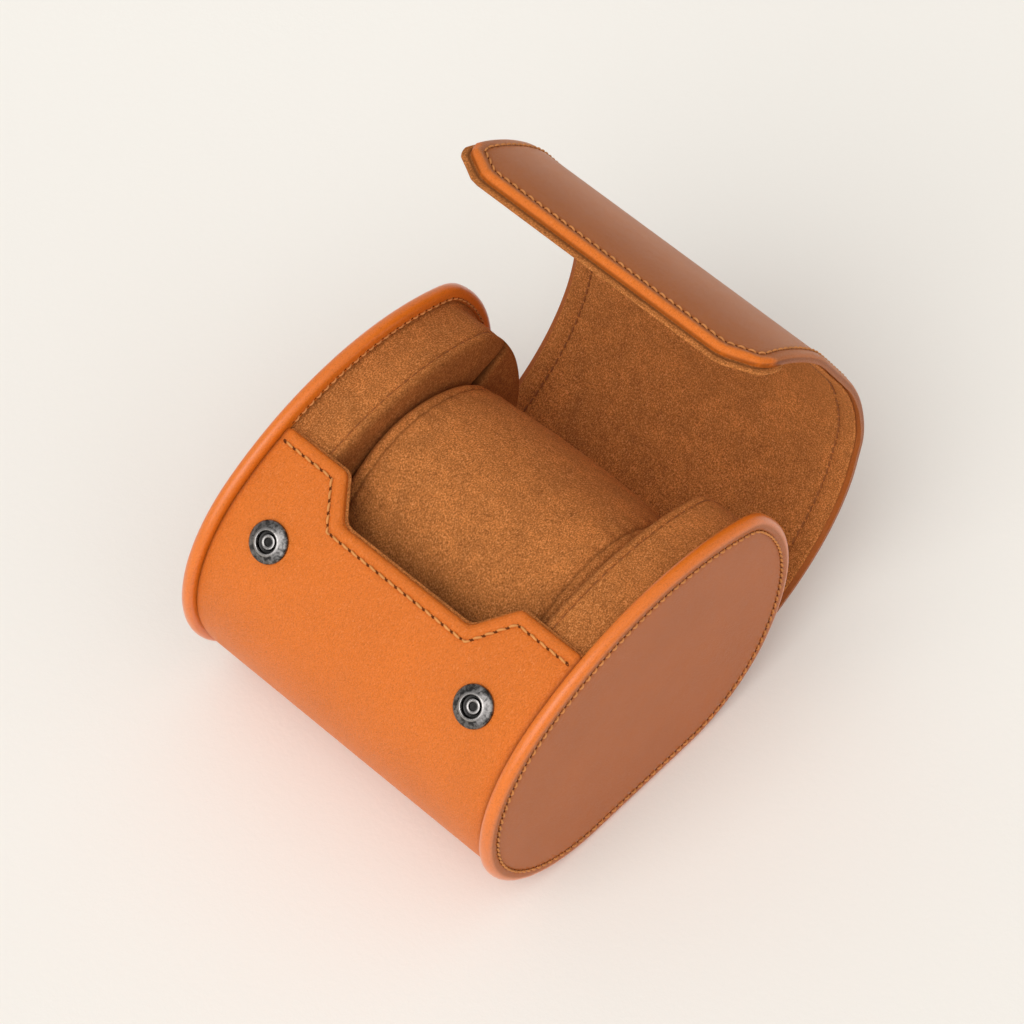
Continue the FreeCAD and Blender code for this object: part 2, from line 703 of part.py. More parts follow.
def oval(place, half_depth, half_height, end_radius):
    """A closed oval of four arcs that meet in a smooth line, square to X."""
    rise = half_height - end_radius
    side_radius = (half_depth ** 2 + rise ** 2 - end_radius ** 2) / (2 * (half_depth - end_radius))
    inner = side_radius - half_depth
    meet = math.atan2(rise, inner)
    across, up = side_radius * math.cos(meet) - inner, side_radius * math.sin(meet)
    points = [(half_depth, 0), (across, up), (0, half_height), (-across, up), (-half_depth, 0),
              (-across, -up), (0, -half_height), (across, -up), (half_depth, 0)]
    spots = [Vector(place, cushion_centre + y, cushion_middle + z) for y, z in points]
    arcs = [Part.Arc(*spots[1:4]), Part.Arc(*spots[3:6]), Part.Arc(*spots[5:8]),
            Part.Arc(spots[7], spots[0], spots[1])]
    return Part.Wire([arc.toShape() for arc in arcs])


def cushion_section(place, full, inset):
    """The cushion's section at a place along X, for a share of its fullness and an inset."""
    depth = cushion_half_depth * full - inset
    height = cushion_half_height * full - inset
    return oval(place, depth, height, cushion_top_radius * full - inset)


def cushion_prism(half, inset):
    """A straight body with the section of the seams at an inset."""
    section = cushion_section(-half, SEAM_FULLNESS_SHARE, inset)
    return Part.Face(section).extrude(Vector(half * 2, 0, 0))


def cushion_part(label, shape):
    feature = doc.addObject("Part::Feature", label)
    feature.Label = label
    feature.Shape = shape
    return keep(feature)


sleeve = Part.makeLoft([cushion_section(seam * share, full, 0) for share, full in SLEEVE_SHARES], True, True)
cushion_part("cushion_sleeve", sleeve.cut(cushion_prism(seam + overrun, cushion_suede)))
cushion_part("cushion_core", cushion_prism(seam - layer_fit, cushion_suede + layer_fit))
for side_name, side in SIDES:
    sections = [cushion_section(side * (seam + cushion_seam_inset * share), full, 0) for share, full in END_SHARES]
    cushion_part(f"cushion_end_{side_name}", Part.makeLoft(sections, True, True))


# The open lid, as the case stands for use: each panel turns about the fold below it
def about(line, angle):
    centre = Vector(0, line[0], line[1])
    return FreeCAD.Placement(Vector(), FreeCAD.Rotation(X_AXIS, float(angle)), centre)


back_open = about(hinge_line, -hinge_open)
top_open = back_open.multiply(about(fold_line, -fold_open))
flap_at_rest = top_open.multiply(about(flap_line, -flap_open))
lid_places = {"lid_back": back_open, "lid_top": top_open,
              "lid_flap": flap_at_rest.multiply(about(flap_line, -flap_lift))}
for panel, place in lid_places.items():
    for layer in LID_LAYERS[panel]:
        layer.Placement = place
for thing, closed in CLOSED_STUDS:
    thing.Placement = flap_at_rest.multiply(closed)
doc.recompute()

# The origin: on the floor, in the middle of the ground that the open case covers
front_most = outline_point(HALF_TURN, 0)[0]
back_most = outline_point(0, 0)[0]
for panel, inset, turns, run, trims in LID:
    place = lid_places[panel]
    backwards = place.Rotation.inverted().multVec(Vector(0, 1, 0))
    facing = math.degrees(math.atan2(backwards.z, backwards.y))
    for direction in (turns[0], max(turns[0], min(facing, turns[1])), turns[1]):
        across, up = outline_point(direction, inset)
        back_most = max(back_most, place.multVec(Vector(0, across, up)).y)
to_middle = FreeCAD.Placement(Vector(0, -(front_most + back_most) / 2, 0), FreeCAD.Rotation())
for part in PARTS.values():
    part.Placement = to_middle.multiply(part.Placement)
doc.recompute()

for thing in doc.Objects:
    if "Invalid" in thing.State or "Error" in thing.State:
        raise ValueError(f"{thing.Label} is {thing.State}")
for label, part in PARTS.items():
    if part.Shape.isNull() or not part.Shape.isValid():
        raise ValueError(f"{label} has no valid shape")
for label, part in PARTS.items():
    part.Shape.exportStep(f"parts/{label}.step")
    print(f"{label}: {len(part.Shape.Solids)} solid, {part.Shape.Volume:.1f} mm3")

for name, line, place in (("lid_hinge", hinge_line, FreeCAD.Placement()), ("lid_fold", fold_line, back_open),
                          ("flap_fold", flap_line, top_open)):
    spot = to_middle.multiply(place).multVec(Vector(0, line[0], line[1]))
    print(f"{name} turns about Y {spot.y:.4f}, Z {spot.z:.4f}")
print(f"the case's own middle lies at Y {to_middle.Base.y:.4f}")
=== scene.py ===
"""The looks of a rolled travel case: leather, suede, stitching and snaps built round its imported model."""
import math

import bmesh
import bpy
import numpy as np
from bpy.props import FloatProperty, FloatVectorProperty, PointerProperty
from mathutils import Matrix, Vector
from mathutils.geometry import delaunay_2d_cdt


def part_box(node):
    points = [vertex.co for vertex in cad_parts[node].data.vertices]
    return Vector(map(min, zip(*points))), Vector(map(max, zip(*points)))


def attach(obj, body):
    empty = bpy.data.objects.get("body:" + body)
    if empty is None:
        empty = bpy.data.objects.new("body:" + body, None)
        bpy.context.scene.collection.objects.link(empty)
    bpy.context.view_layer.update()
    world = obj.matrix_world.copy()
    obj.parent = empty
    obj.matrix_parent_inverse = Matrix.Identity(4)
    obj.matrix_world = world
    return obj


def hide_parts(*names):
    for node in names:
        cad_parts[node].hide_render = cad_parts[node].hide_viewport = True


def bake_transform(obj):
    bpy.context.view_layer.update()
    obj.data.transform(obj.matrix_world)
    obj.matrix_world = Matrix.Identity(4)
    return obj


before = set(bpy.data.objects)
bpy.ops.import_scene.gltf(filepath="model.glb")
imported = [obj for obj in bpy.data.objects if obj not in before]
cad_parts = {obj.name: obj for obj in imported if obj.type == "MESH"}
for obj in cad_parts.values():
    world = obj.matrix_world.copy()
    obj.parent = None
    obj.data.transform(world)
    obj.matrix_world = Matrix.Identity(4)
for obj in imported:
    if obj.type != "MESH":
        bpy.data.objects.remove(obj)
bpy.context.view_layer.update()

bl_info = {
    "name": "Rolled Travel Case",
    "version": (1, 0, 0),
    "blender": (4, 5, 0),
    "location": "View3D > Sidebar > Travel Case",
    "description": "Dresses a rolled travel case in leather, suede, stitching and snaps",
    "category": "Object",
}

# Lengths here are in millimetres, apart from those times MM, FLOOR_HALF and CAMERA_END. Turns are in degrees
MM = 0.001
SIDES = (("right", 1), ("left", -1))

# The outline of the end caps, as arcs, and where the lid folds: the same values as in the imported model
ARC_RADII = (32.0, 51.5, 15.2, 73.3, 40.0)
ARC_TURNS = (-90.0, -29.6, 35.2, 65.1, 123.8, 188.7, 270.0)
FLAT_BACK = 16.7
SHELL_INSET = 1.6
FRONT_EDGE_TURN = 108.8
HINGE_TURN, FOLD_TURN, RUN_TURN, FLAP_END_TURN = -52.0, 40.0, 91.0, 143.5
RUN_LENGTH = 21.5
HINGE_OPEN, FOLD_OPEN, FLAP_OPEN = 42.0, 21.0, 9.4
HALF_CAP = 46.4
HALF_LID = 45.3
HALF_LINING = 44.0
NOTCH = ((-27.5, 0.0), (-20.0, 10.5), (20.0, 10.5), (27.5, 0.0))
SNAP_TURN = 132.0
SNAP_ACROSS = 32.5

# The lid's cut corners, as how far in from its side and its end
FLAP_CORNER = ((0.0, 8.4), (1.4, 5.1), (8.6, 0.5), (11.1, 0.0))
# The lining's lip: where it starts and is full, before the lining's end, and its share to the sides
LIP_START, LIP_FULL, LIP_ACROSS = 19.0, 13.0, 0.55
# Where the skin is cut into stretches, and how near to a cut the points of a sheet's edge stay put
LOWER_CUT_PAST_HINGE, UPPER_CUT_PAST_FOLD, CUT_REACH = 14.0, 22.0, 3.0
# How far the shell stays off the caps, and how far before and past the hinge it narrows to the lid's width
CAP_GAP, NARROWS_BEFORE, NARROWS_PAST = 0.05, 3.0, 1.0

# How far the suede stands out past the leather at the shell's front edge and at the lid's free edge
FRONT_LIP, LID_LIP = 0.7, 2.1

# Rolled edges: how wide and how deep, and how much more of both the lid's has at its free edge
FRONT_ROLL = (1.5, 1.2)
SHELL_SIDE_ROLL = (4.2, 0.95)
HINGE_SIDE_ROLL = (1.4, 1.0)
LID_ROLL, LID_TIP_ROLL = (1.4, 1.0), (0.5, 0.65)
SUEDE_ROLL, SUEDE_UNDER_ROLL = (0.45, 0.35), (0.45, 0.40)

# Swells and grooves along an edge: how far from it, how wide and how high. A seam's groove lies at its hem
FRONT_SWELL, FRONT_GROOVE = (1.9, 0.9, 0.16), (0.42, 0.26)
LID_TIP_SWELL, LID_GROOVE = (1.5, 0.8, 0.30), (0.40, 0.25)
LINING_RIDGE, LINING_GROOVE = (2.6, 0.8, 0.18), (5.0, 0.5, 0.35)

# How deep the snaps press the lid's faces below the skin, and how far off that starts and is full
PRESSED_LEATHER, PRESSED_SUEDE, PRESSED_LINING = 1.58, 1.60, 1.75
PRESS_REACH = (7.36, 2.76)

# The points of a sheet: rings as distances from its edge, the step along the edge and the grids inside
LEATHER_RINGS = (0.0, 0.06, 0.22, 0.5, 0.85, 1.3, 1.9, 2.4, 2.8, 3.1, 3.4, 3.7, 4.1, 4.7, 5.6)
LEATHER_UNDER_RINGS = (0.0, 0.06, 0.22, 0.5)
SUEDE_RINGS = (0.0, 0.05, 0.2, 0.45, 0.9, 1.6, 2.4, 2.9, 3.4, 4.0, 4.6, 5.0, 5.4, 6.0)
SHEET_STEP = 1.2 * MM
SHEET_GRID = (2.0 * MM, 1.2 * MM)
UNDER_GRID = (SHEET_GRID[0] * 2, SHEET_GRID[1] * 1.5)

# The section of an end cap's shell and rolled rim, as inset from the outline and place across the case
CAP_PROFILE = ((9.0, 46.4), (4.2, 46.4), (3.5, 46.42), (3.2, 46.25), (2.9, 46.42), (2.0, 46.44), (1.3, 46.5),
               (0.75, 46.72), (0.35, 47.05), (0.1, 47.5), (0.0, 48.0), (0.03, 48.4), (0.16, 48.9),
               (0.42, 49.35), (0.8, 49.68), (1.3, 49.88), (1.9, 49.98), (2.6, 49.98), (3.1, 49.9),
               (3.35, 49.8), (3.55, 49.74), (3.75, 49.8), (4.0, 49.9), (4.5, 50.02), (5.5, 50.08),
               (9.0, 50.1), (13.0, 50.1))
CAP_PANEL_SHRINKS = (0.3, 0.6, 0.85)
CAP_OUTER_PLACE = 49.0

# The board inside an end cap: its inset and the places of its faces
BOARD_INSET, BOARD_FACES, BOARD_SHRINK = 2.4, (47.1, 49.1), 0.85

# The section of a cheek, from the cap to its inner face, with the piping of its seam
CHEEK_PROFILE = ((6.5, 46.6), (3.5, 46.42), (3.75, 46.2), (4.3, 45.75), (4.68, 45.1), (4.8, 43.6),
                 (4.78, 41.0), (4.78, 39.0), (4.8, 37.2), (4.86, 36.0), (4.95, 35.45), (5.25, 35.15),
                 (5.28, 35.0), (4.98, 34.8), (4.78, 34.3), (4.92, 33.6), (5.4, 33.0), (6.1, 32.65),
                 (7.0, 32.5), (9.0, 32.45))
CHEEK_FACE = (9.0, 32.4)
CHEEK_FACE_SHRINKS = (*(hundredth / 100 for hundredth in range(1, 41)), 0.65, 0.88)
# The crease in the left cheek: its line as Y and Z, its depth and width, and how far across it is looked for
CREASE = ((30.4, 56.9), (41.6, 62.0))
CREASE_DEPTH, CREASE_WIDTH, CREASE_REACH = 3.6, 1.35, 33.2

# The cushion: the arcs of its section, and how full it is at each place across the case
CUSHION_DEPTH, CUSHION_HEIGHT, CUSHION_END = 32.6, 34.8, 29.5
CUSHION_STATIONS = ((0.0, 1.0), (8.0, 0.999), (15.0, 0.993), (20.0, 0.986), (24.0, 0.979), (26.5, 0.973),
                    (27.5, 0.966), (28.0, 0.955), (28.25, 0.952), (28.6, 0.958), (29.4, 0.962), (30.2, 0.955),
                    (31.0, 0.938), (31.6, 0.915), (31.95, 0.885), (32.05, 0.84), (32.05, 0.6), (32.05, 0.3),
                    (32.05, 0.08))
CUSHION_STEP = 1.6
CUSHION_SEAM = 28.2
CUSHION_AROUND = 220

# The snaps, as radius and height. The socket has painted shade inside and painted highlights on its ridges
SOCKET_PROFILE = ((0.1, -0.55), (5.0, -0.3), (5.2, 0.0), (5.22, 0.35), (5.12, 0.62), (4.9, 0.82), (4.6, 0.96),
                  (4.2, 1.12), (3.8, 1.26), (3.5, 1.34), (3.28, 1.46), (3.12, 1.56), (2.96, 1.58), (2.8, 1.5),
                  (2.7, 1.3), (2.6, 0.24), (2.3, 0.14), (2.05, 0.14), (1.9, 0.4), (1.78, 0.62), (1.55, 0.72),
                  (1.3, 0.7), (1.1, 0.56), (1.0, 0.3), (0.95, 0.16), (0.1, 0.14))
STUD_PROFILE = ((0.3, -1.0), (3.95, -0.28), (4.0, 0.0), (3.9, 0.1), (3.4, 0.14), (2.0, 0.18), (1.78, 0.26),
                (1.74, 0.5), (1.9, 0.68), (2.08, 0.74), (2.1, 0.84), (1.95, 0.94), (1.5, 0.98), (0.3, 1.0))
SNAP_AROUND = 48

# A stitch: how many rings and sides its thread has, how deep its ends lie and how far it arches up
THREAD_RINGS, THREAD_SIDES = 7, 6
THREAD_SINK, THREAD_ARCH = 0.32, 0.35
# A needle's slit: its lean, sides, length to width and depth, and its rings as share and height
HOLE_LEAN, HOLE_SIDES, HOLE_LENGTH, HOLE_DEPTH = 24.0, 10, 1.7, 0.6
HOLE_RINGS = ((1.0, 0.0), (0.55, -0.06))

# Where seams lie: on caps and cheeks as inset and place, below the face, and off the sides, cuts and end
CAP_SEAM, CAP_INNER_SEAM, CHEEK_SEAM = (3.55, 49.90), (2.85, 46.34), (5.28, 35.05)
SEAM_SINK, LINING_SEAM_SINK = 0.12, 0.30
LID_INNER_HEM, LID_SEAM_START, LID_SEAM_END, FRONT_SEAM_END = 6.3, 1.0, 10.0, 2.0

# Colours besides the case's own: painted highlights on the tops of the leather's grain and of the suede's
# nap, and two each for the needle holes' painted shade and for boards
LEATHER_GRAIN_HIGHLIGHT, SUEDE_NAP_HIGHLIGHT = (1.0, 0.50, 0.22), (0.95, 0.45, 0.17)
HOLE_COLOURS = ((0.090, 0.022, 0.006), (0.160, 0.042, 0.011))
BOARD_COLOURS = ((0.20, 0.15, 0.10), (0.40, 0.31, 0.21))

# The studio's soft lamps: name, strength, width in degrees, and the way to each as X and Y to a Z of one
LAMPS = (("front_lamp", 1.30, 60, 0.2, -1.1), ("top_lamp", 0.48, 36, 0.0, -0.5),
         ("side_lamp", 0.24, 60, 0.5, -0.5), ("far_lamp", 0.18, 60, 0.8, 0.1))
SKY_STRENGTH = 0.52
FLOOR_HALF = 3.0

# The camera: where it stands round the case, how far to its right, up and off, and its lens and view
CAMERA_AZIMUTH, CAMERA_ELEVATION = 43.103, 56.189
CAMERA_RIGHT, CAMERA_UP, CAMERA_BACK = 5.487, 38.344, 1143.31
CAMERA_LENS, CAMERA_SENSOR, CAMERA_END = 165.23, 36.0, 20.0


def length_property(name, description, default):
    return FloatProperty(name=name, description=description, default=default, unit="LENGTH", precision=5)


def colour_property(name, description, default):
    return FloatVectorProperty(name=name, description=description, default=default, subtype="COLOR", size=3,
                               min=0, max=1)


class CaseSizes(bpy.types.PropertyGroup):
    """The sizes of what is sewn and rolled."""
    front_pitch: length_property("Front stitch", "Length of a stitch along the front edge", 0.0029)
    cap_pitch: length_property("Cap stitch", "Length of a stitch on the end caps", 0.0023)
    lid_pitch: length_property("Lid stitch", "Length of a stitch along the lid", 0.0025)
    thread: length_property("Thread", "Radius of the sewing thread", 0.00031)
    front_hem: length_property("Front hem", "From the front edge to its stitches", 0.0035)
    lid_hem: length_property("Lid hem", "From the lid's edge to its stitches", 0.0030)
    leather: length_property("Leather", "Thickness of a turned leather edge", 0.0019)
    suede: length_property("Suede", "Thickness of the suede lining", 0.0008)
    grain: length_property("Grain", "Size of a wrinkle of the leather's grain", 0.00035)
    nap: length_property("Nap", "Size of a tuft of the suede's nap", 0.00036)


class CaseColours(bpy.types.PropertyGroup):
    """The colours of the case's finishes."""
    leather: colour_property("Leather", "Colour of the tan leather", (0.79, 0.178, 0.011))
    # The lid's and the panels' colours are shaded copies of the tan leather: painted shade, darker and
    # browner than the lit tan
    lid: colour_property("Lid leather", "Colour of the lid's outer leather", (0.53, 0.162, 0.042))
    panel: colour_property("Cap panel", "Colour of the end caps' panels", (0.430, 0.104, 0.012))
    suede: colour_property("Suede", "Colour of the suede", (0.67, 0.222, 0.053))
    thread: colour_property("Thread", "Colour of the thread along the front edge", (0.86, 0.36, 0.10))
    seam_thread: colour_property("Seam thread", "Colour of the thread on caps and lid", (0.74, 0.29, 0.085))
    dark_thread: colour_property("Dark thread", "Colour of the thread in the suede", (0.36, 0.120, 0.032))
    metal: colour_property("Snap metal", "Colour of the snaps' plating", (0.100, 0.094, 0.090))
    floor: colour_property("Floor", "Colour of the floor", (0.900, 0.866, 0.804))


def sizes():
    return bpy.context.scene.case_sizes


def colour_of(name):
    return tuple(getattr(bpy.context.scene.case_colours, name))


# Shader maths

class Value:
    """One output of a node, which takes part in sums."""

    def __init__(self, finish, socket):
        self.finish = finish
        self.socket = socket

    def maths(self, operation, first, second):
        return self.finish.node("ShaderNodeMath", {"operation": operation}, {0: first, 1: second})

    def __add__(self, other):
        return self.maths("ADD", self, other)

    __radd__ = __add__

    def __sub__(self, other):
        return self.maths("SUBTRACT", self, other)

    def __rsub__(self, other):
        return self.maths("SUBTRACT", other, self)

    def __mul__(self, other):
        return self.maths("MULTIPLY", self, other)

    __rmul__ = __mul__

    def between(self, low, high):
        """How far the value has come from low to high, from 0 to 1."""
        return self.finish.node("ShaderNodeClamp", {}, {"Value": (self - low) * (1 / (high - low))})


class Finish:
    """A procedural material in the making."""

    def __init__(self, name):
        self.material = bpy.data.materials.new(name)
        self.material.use_nodes = True
        self.tree = self.material.node_tree
        self.tree.nodes.clear()
        self.output = self.tree.nodes.new("ShaderNodeOutputMaterial")
        self.place = self.node("ShaderNodeTexCoord", {}, {}, "Object")

    def node(self, kind, settings, inputs, output=0):
        """Adds a node: its settings are set first, then the values or links of its sockets."""
        made = self.tree.nodes.new(kind)
        for name, setting in settings.items():
            setattr(made, name, setting)
        for key, value in inputs.items():
            socket = self.find(made.inputs, key)
            if isinstance(value, Value):
                self.tree.links.new(value.socket, socket)
            elif socket.type == "RGBA" and len(value) == 3:
                socket.default_value = (*value, 1.0)
            else:
                socket.default_value = value
        return Value(self, self.find(made.outputs, output))

    @staticmethod
    def find(sockets, key):
        """A socket by its number, its identifier or its name."""
        if isinstance(key, int):
            return sockets[key]
        for socket in sockets:
            if socket.identifier == key:
                return socket
        return sockets[key]

    def noise(self, size, detail=2.0, roughness=0.5, distortion=0.0, stretch=None):
        """Noise of a size in millimetres, finer along an axis by its part of the stretch."""
        where = self.place
        if stretch:
            where = self.node("ShaderNodeVectorMath", {"operation": "MULTIPLY"}, {0: self.place, 1: stretch})
        inputs = {"Vector": where, "Scale": 1.0 / (size * MM), "Detail": detail, "Roughness": roughness,
                  "Distortion": distortion}
        return self.node("ShaderNodeTexNoise", {}, inputs, "Fac")

    def mix(self, factor, first, second):
        return self.node("ShaderNodeMix", {"data_type": "RGBA"},
                         {"Factor_Float": factor, "A_Color": first, "B_Color": second}, "Result_Color")

    def painted(self, name):
        """What the mesh is painted with under a name."""
        return self.node("ShaderNodeAttribute", {"attribute_name": name}, {}, "Fac")

    def bump(self, height, distance, strength, under=None):
        """A normal from a height, raised by a distance in millimetres."""
        inputs = {"Height": height, "Distance": distance * MM, "Strength": strength}
        if under:
            inputs["Normal"] = under
        return self.node("ShaderNodeBump", {}, inputs, "Normal")

    def done(self, inputs):
        """Makes and links the surface, and gives the material."""
        surface = self.node("ShaderNodeBsdfPrincipled", {}, inputs, "BSDF")
        self.tree.links.new(surface.socket, self.output.inputs["Surface"])
        return self.material


def shaded(colour, share):
    return tuple(min(1.0, part * share) for part in colour)


def leather_finish(name, tan, polish, second=None, coat=0.0):
    """Grained leather, smoother with polish, with painted highlights on the grain's tops and painted shade
    where the mesh is painted. Its second colour, a shaded copy of the tan, is painted shade where the mesh is
    painted for it.
    """
    finish = Finish(name)
    cloud = finish.noise(14, 3.0, 0.55)
    fine_cloud = finish.noise(3.5)
    crinkle = finish.noise(sizes().grain / MM, 3.0, 0.60, 1.2, (1.35, 0.62, 0.62))
    base = finish.mix(cloud, shaded(tan, 0.92), shaded(tan, 1.08))
    if second:
        other = finish.mix(cloud, shaded(second, 0.90), shaded(second, 1.10))
        # Painted shade: the shaded copy of the tan, where the mesh is painted for it
        base = finish.mix(finish.painted("tone"), base, other)
    creases, highlight_tops = crinkle.between(0.48, 0.36), crinkle.between(0.54, 0.68)
    base = finish.mix(0.065 * fine_cloud - 0.02, base, shaded(tan, 0.60))
    base = finish.mix(0.42 * creases, base, shaded(tan, 0.52))
    # Painted highlights on the tops of the grain, fewer with polish
    base = finish.mix((0.20 - 0.12 * polish) * highlight_tops, base, LEATHER_GRAIN_HIGHLIGHT)
    # Painted shade where the mesh is painted for it
    base = finish.mix(finish.painted("wear"), base, shaded(tan, 0.30))
    pebble = finish.node("ShaderNodeTexVoronoi", {"feature": "SMOOTH_F1"},
                         {"Vector": finish.place, "Scale": 1.0 / (1.6 * sizes().grain)}, "Distance")
    coarse = finish.bump(crinkle, 0.34, 0.95 - 0.58 * polish)
    surface = finish.bump(pebble, 0.10, 0.5 - 0.35 * polish, coarse)
    rough = (0.36 - 0.08 * polish) + (0.12 - 0.02 * polish) * fine_cloud
    inputs = {"Base Color": base, "Roughness": rough, "Normal": surface, "IOR": 1.46, "Coat Roughness": 0.30,
              "Specular IOR Level": 0.25 if second else 0.4}
    if coat:
        inputs["Coat Weight"] = coat * (1 - finish.painted("tone"))
    return finish.done(inputs)


def suede_finish(name, brown):
    """Short, brushed nap in patches."""
    finish = Finish(name)
    cloud = finish.noise(12, 3.0, 0.62, 0.7)
    patch = finish.noise(3.4, 4.0, 0.68, 0.5)
    tuft = finish.noise(sizes().nap / MM, 3.0, 0.7, 0.3, (1.25, 0.8, 0.8))
    base = finish.mix(1.6 * cloud - 0.30, shaded(brown, 0.70), shaded(brown, 1.26))
    base = finish.mix(0.46 * patch.between(0.35, 0.65), base, shaded(brown, 0.55))
    base = finish.mix(0.84 * (1 - tuft.between(0.36, 0.56)), base, shaded(brown, 0.26))
    # Painted highlights on the tips of the nap's tufts
    base = finish.mix(0.52 * tuft.between(0.53, 0.70), base, SUEDE_NAP_HIGHLIGHT)
    # Painted shade where the mesh is painted for it
    base = finish.mix(finish.painted("wear"), base, shaded(brown, 0.20))
    surface = finish.bump(tuft, 0.34, 1.0, finish.bump(patch, 0.30, 0.5))
    return finish.done({"Base Color": base, "Roughness": 0.85 + 0.15 * tuft, "Normal": surface,
                        "Specular IOR Level": 0.12, "Sheen Weight": 0.18, "Sheen Roughness": 0.5,
                        "Sheen Tint": shaded(brown, 1.6)})


def thread_finish(name, dye):
    """Twisted thread, unevenly dyed along the seam."""
    finish = Finish(name)
    twist = finish.noise(0.22, 2.0, 0.6)
    tone = finish.noise(6, 1.0)
    base = finish.mix(tone, shaded(dye, 0.62), shaded(dye, 1.15))
    base = finish.mix(0.5 * twist, base, shaded(dye, 0.55))
    return finish.done({"Base Color": base, "Roughness": 0.50 + 0.20 * twist,
                        "Normal": finish.bump(twist, 0.08, 0.8), "Specular IOR Level": 0.2})


# A needle's slit is coloured near black: painted shade inside the hole
def hole_finish(name):
    finish = Finish(name)
    tone = finish.noise(0.4)
    base = finish.mix(tone, *HOLE_COLOURS)
    return finish.done({"Base Color": base, "Roughness": 0.8 + 0.2 * tone, "Specular IOR Level": 0.05})


def metal_finish(name, plating):
    """Blackened metal, with painted highlights and painted shade where the mesh is painted with them."""
    finish = Finish(name)
    patina = finish.noise(1.1, 3.0, 0.6, 0.4).between(0.38, 0.66)
    scratch = finish.noise(0.45, 3.0, 0.6)
    base = finish.mix(patina, shaded(plating, 0.50), shaded(plating, 2.6))
    # Painted highlights on the ridges, then painted shade in the hollows
    base = finish.mix(finish.painted("tone"), base, shaded(plating, 3.6))
    base = finish.mix(finish.painted("wear"), base, shaded(plating, 0.35))
    return finish.done({"Base Color": base, "Roughness": 0.20 + 0.22 * patina,
                        "Normal": finish.bump(scratch, 0.05, 0.5), "Metallic": 1.0})


def board_finish(name):
    finish = Finish(name)
    fibre = finish.noise(0.6, 4.0, 0.7, 0.8, (1.0, 1.0, 4.0))
    base = finish.mix(fibre, *BOARD_COLOURS)
    return finish.done({"Base Color": base, "Roughness": 0.75 + 0.20 * fibre,
                        "Normal": finish.bump(fibre, 0.12, 0.6)})


def floor_finish(name, paint):
    finish = Finish(name)
    paper = finish.noise(1.6, 3.0, 0.6)
    base = finish.mix(finish.noise(250), shaded(paint, 0.985), shaded(paint, 1.005))
    return finish.done({"Base Color": base, "Roughness": 0.85 + 0.10 * paper,
                        "Normal": finish.bump(paper, 0.16, 0.35), "Specular IOR Level": 0.1})


# Each finish's maker and the values that it takes. A word stands for one of the case's colours
RECIPES = {
    "leather_front": (leather_finish, "leather", 0.0),
    # The rim's second colour, the panel, and the lid's second colour are shaded copies of the tan: painted
    # shade
    "leather_rim": (leather_finish, "leather", 1.0, "panel", 0.75),
    "leather_lid": (leather_finish, "leather", 0.5, "lid"),
    "suede": (suede_finish, "suede"),
    "thread": (thread_finish, "thread"),
    "seam_thread": (thread_finish, "seam_thread"),
    "dark_thread": (thread_finish, "dark_thread"),
    "needle_hole": (hole_finish,),
    "snap_metal": (metal_finish, "metal"),
    "stiffener": (board_finish,),
    "floor": (floor_finish, "floor"),
}
FINISHES = {}


def finish_of(name):
    """Each finish is made once, when the first piece asks for it."""
    if name not in FINISHES:
        maker, *values = RECIPES[name]
        values = [colour_of(value) if isinstance(value, str) else value for value in values]
        FINISHES[name] = maker(name, *values)
    return FINISHES[name]


# Small curves

def swell(distance, place, width, height):
    """A smooth rise of a width and a height round a place."""
    return height * np.exp(-((distance - place) / width) ** 2)


def ramp(value, start, end):
    """How far a value has come from a start to an end, from 0 to 1."""
    return np.clip((value - start) / (end - start), 0, 1)


def rolled(distance, width, depth):
    """How far a rolled edge lies below its face, at a distance from its end."""
    share = np.clip(distance / width, 0, 1)
    return depth * (1 - np.sqrt(np.clip(1 - (1 - share) ** 2, 0, 1)))


# The outline and the path of the leather, with lengths in metres

def outline_arcs():
    """The radii, the directions between them and the centres of the outline's arcs."""
    radii = [radius * MM for radius in ARC_RADII]
    turns = [math.radians(turn) for turn in ARC_TURNS]
    rise = sum(radius * (math.sin(last) - math.sin(first))
               for radius, first, last in zip(radii, turns, turns[1:]))
    radii.append(rise / (math.sin(turns[-2]) + 1))
    centres = [(FLAT_BACK * MM, radii[0])]
    for before, after, turn in zip(radii, radii[1:], turns[1:]):
        across, up = centres[-1]
        step = before - after
        centres.append((across + step * math.cos(turn), up + step * math.sin(turn)))
    return radii, turns, centres


RADII, TURNS, CENTRES = outline_arcs()
# The number of the arc along the top
CROWN = 3


def outline_point(degrees, inset):
    """The point, as Y and Z, of the outline that faces a direction, before the case is centred."""
    turn = math.radians(degrees)
    while turn > TURNS[-1]:
        turn -= math.tau
    for radius, last, (across, up) in zip(RADII, TURNS[1:], CENTRES):
        if turn <= last:
            break
    reach = radius - inset
    return np.array((across + reach * math.cos(turn), up + reach * math.sin(turn)))


def centring():
    """How far the case is moved along Y, so that its open lid stands even round the origin."""
    low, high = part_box("end_cover_right")
    return (low.y + high.y - outline_point(180, 0)[0] - outline_point(0, 0)[0]) / 2


CENTRING = centring()
# The point, as Y and Z, that the faces of the caps and cheeks shrink towards
FACE_MIDDLE = np.array((CENTRES[CROWN][0] + CENTRING + 2 * MM, 40 * MM))


def outline_loop(inset, step=1.0 * MM):
    """Points round the whole outline at an inset, as many for every inset, with the flat base last."""
    points = []
    for radius, first, last, (across, up) in zip(RADII, TURNS, TURNS[1:], CENTRES):
        count = max(3, round(radius * (last - first) / step))
        reach = radius - inset
        for number in range(count):
            turn = first + (last - first) * number / count
            points.append((across + CENTRING + reach * math.cos(turn), up + reach * math.sin(turn)))
    start, end = CENTRES[-1][0] + CENTRING, FLAT_BACK * MM + CENTRING
    count = max(3, round((end - start) / step))
    for number in range(count):
        points.append((start + (end - start) * number / count, inset))
    return np.array(points)


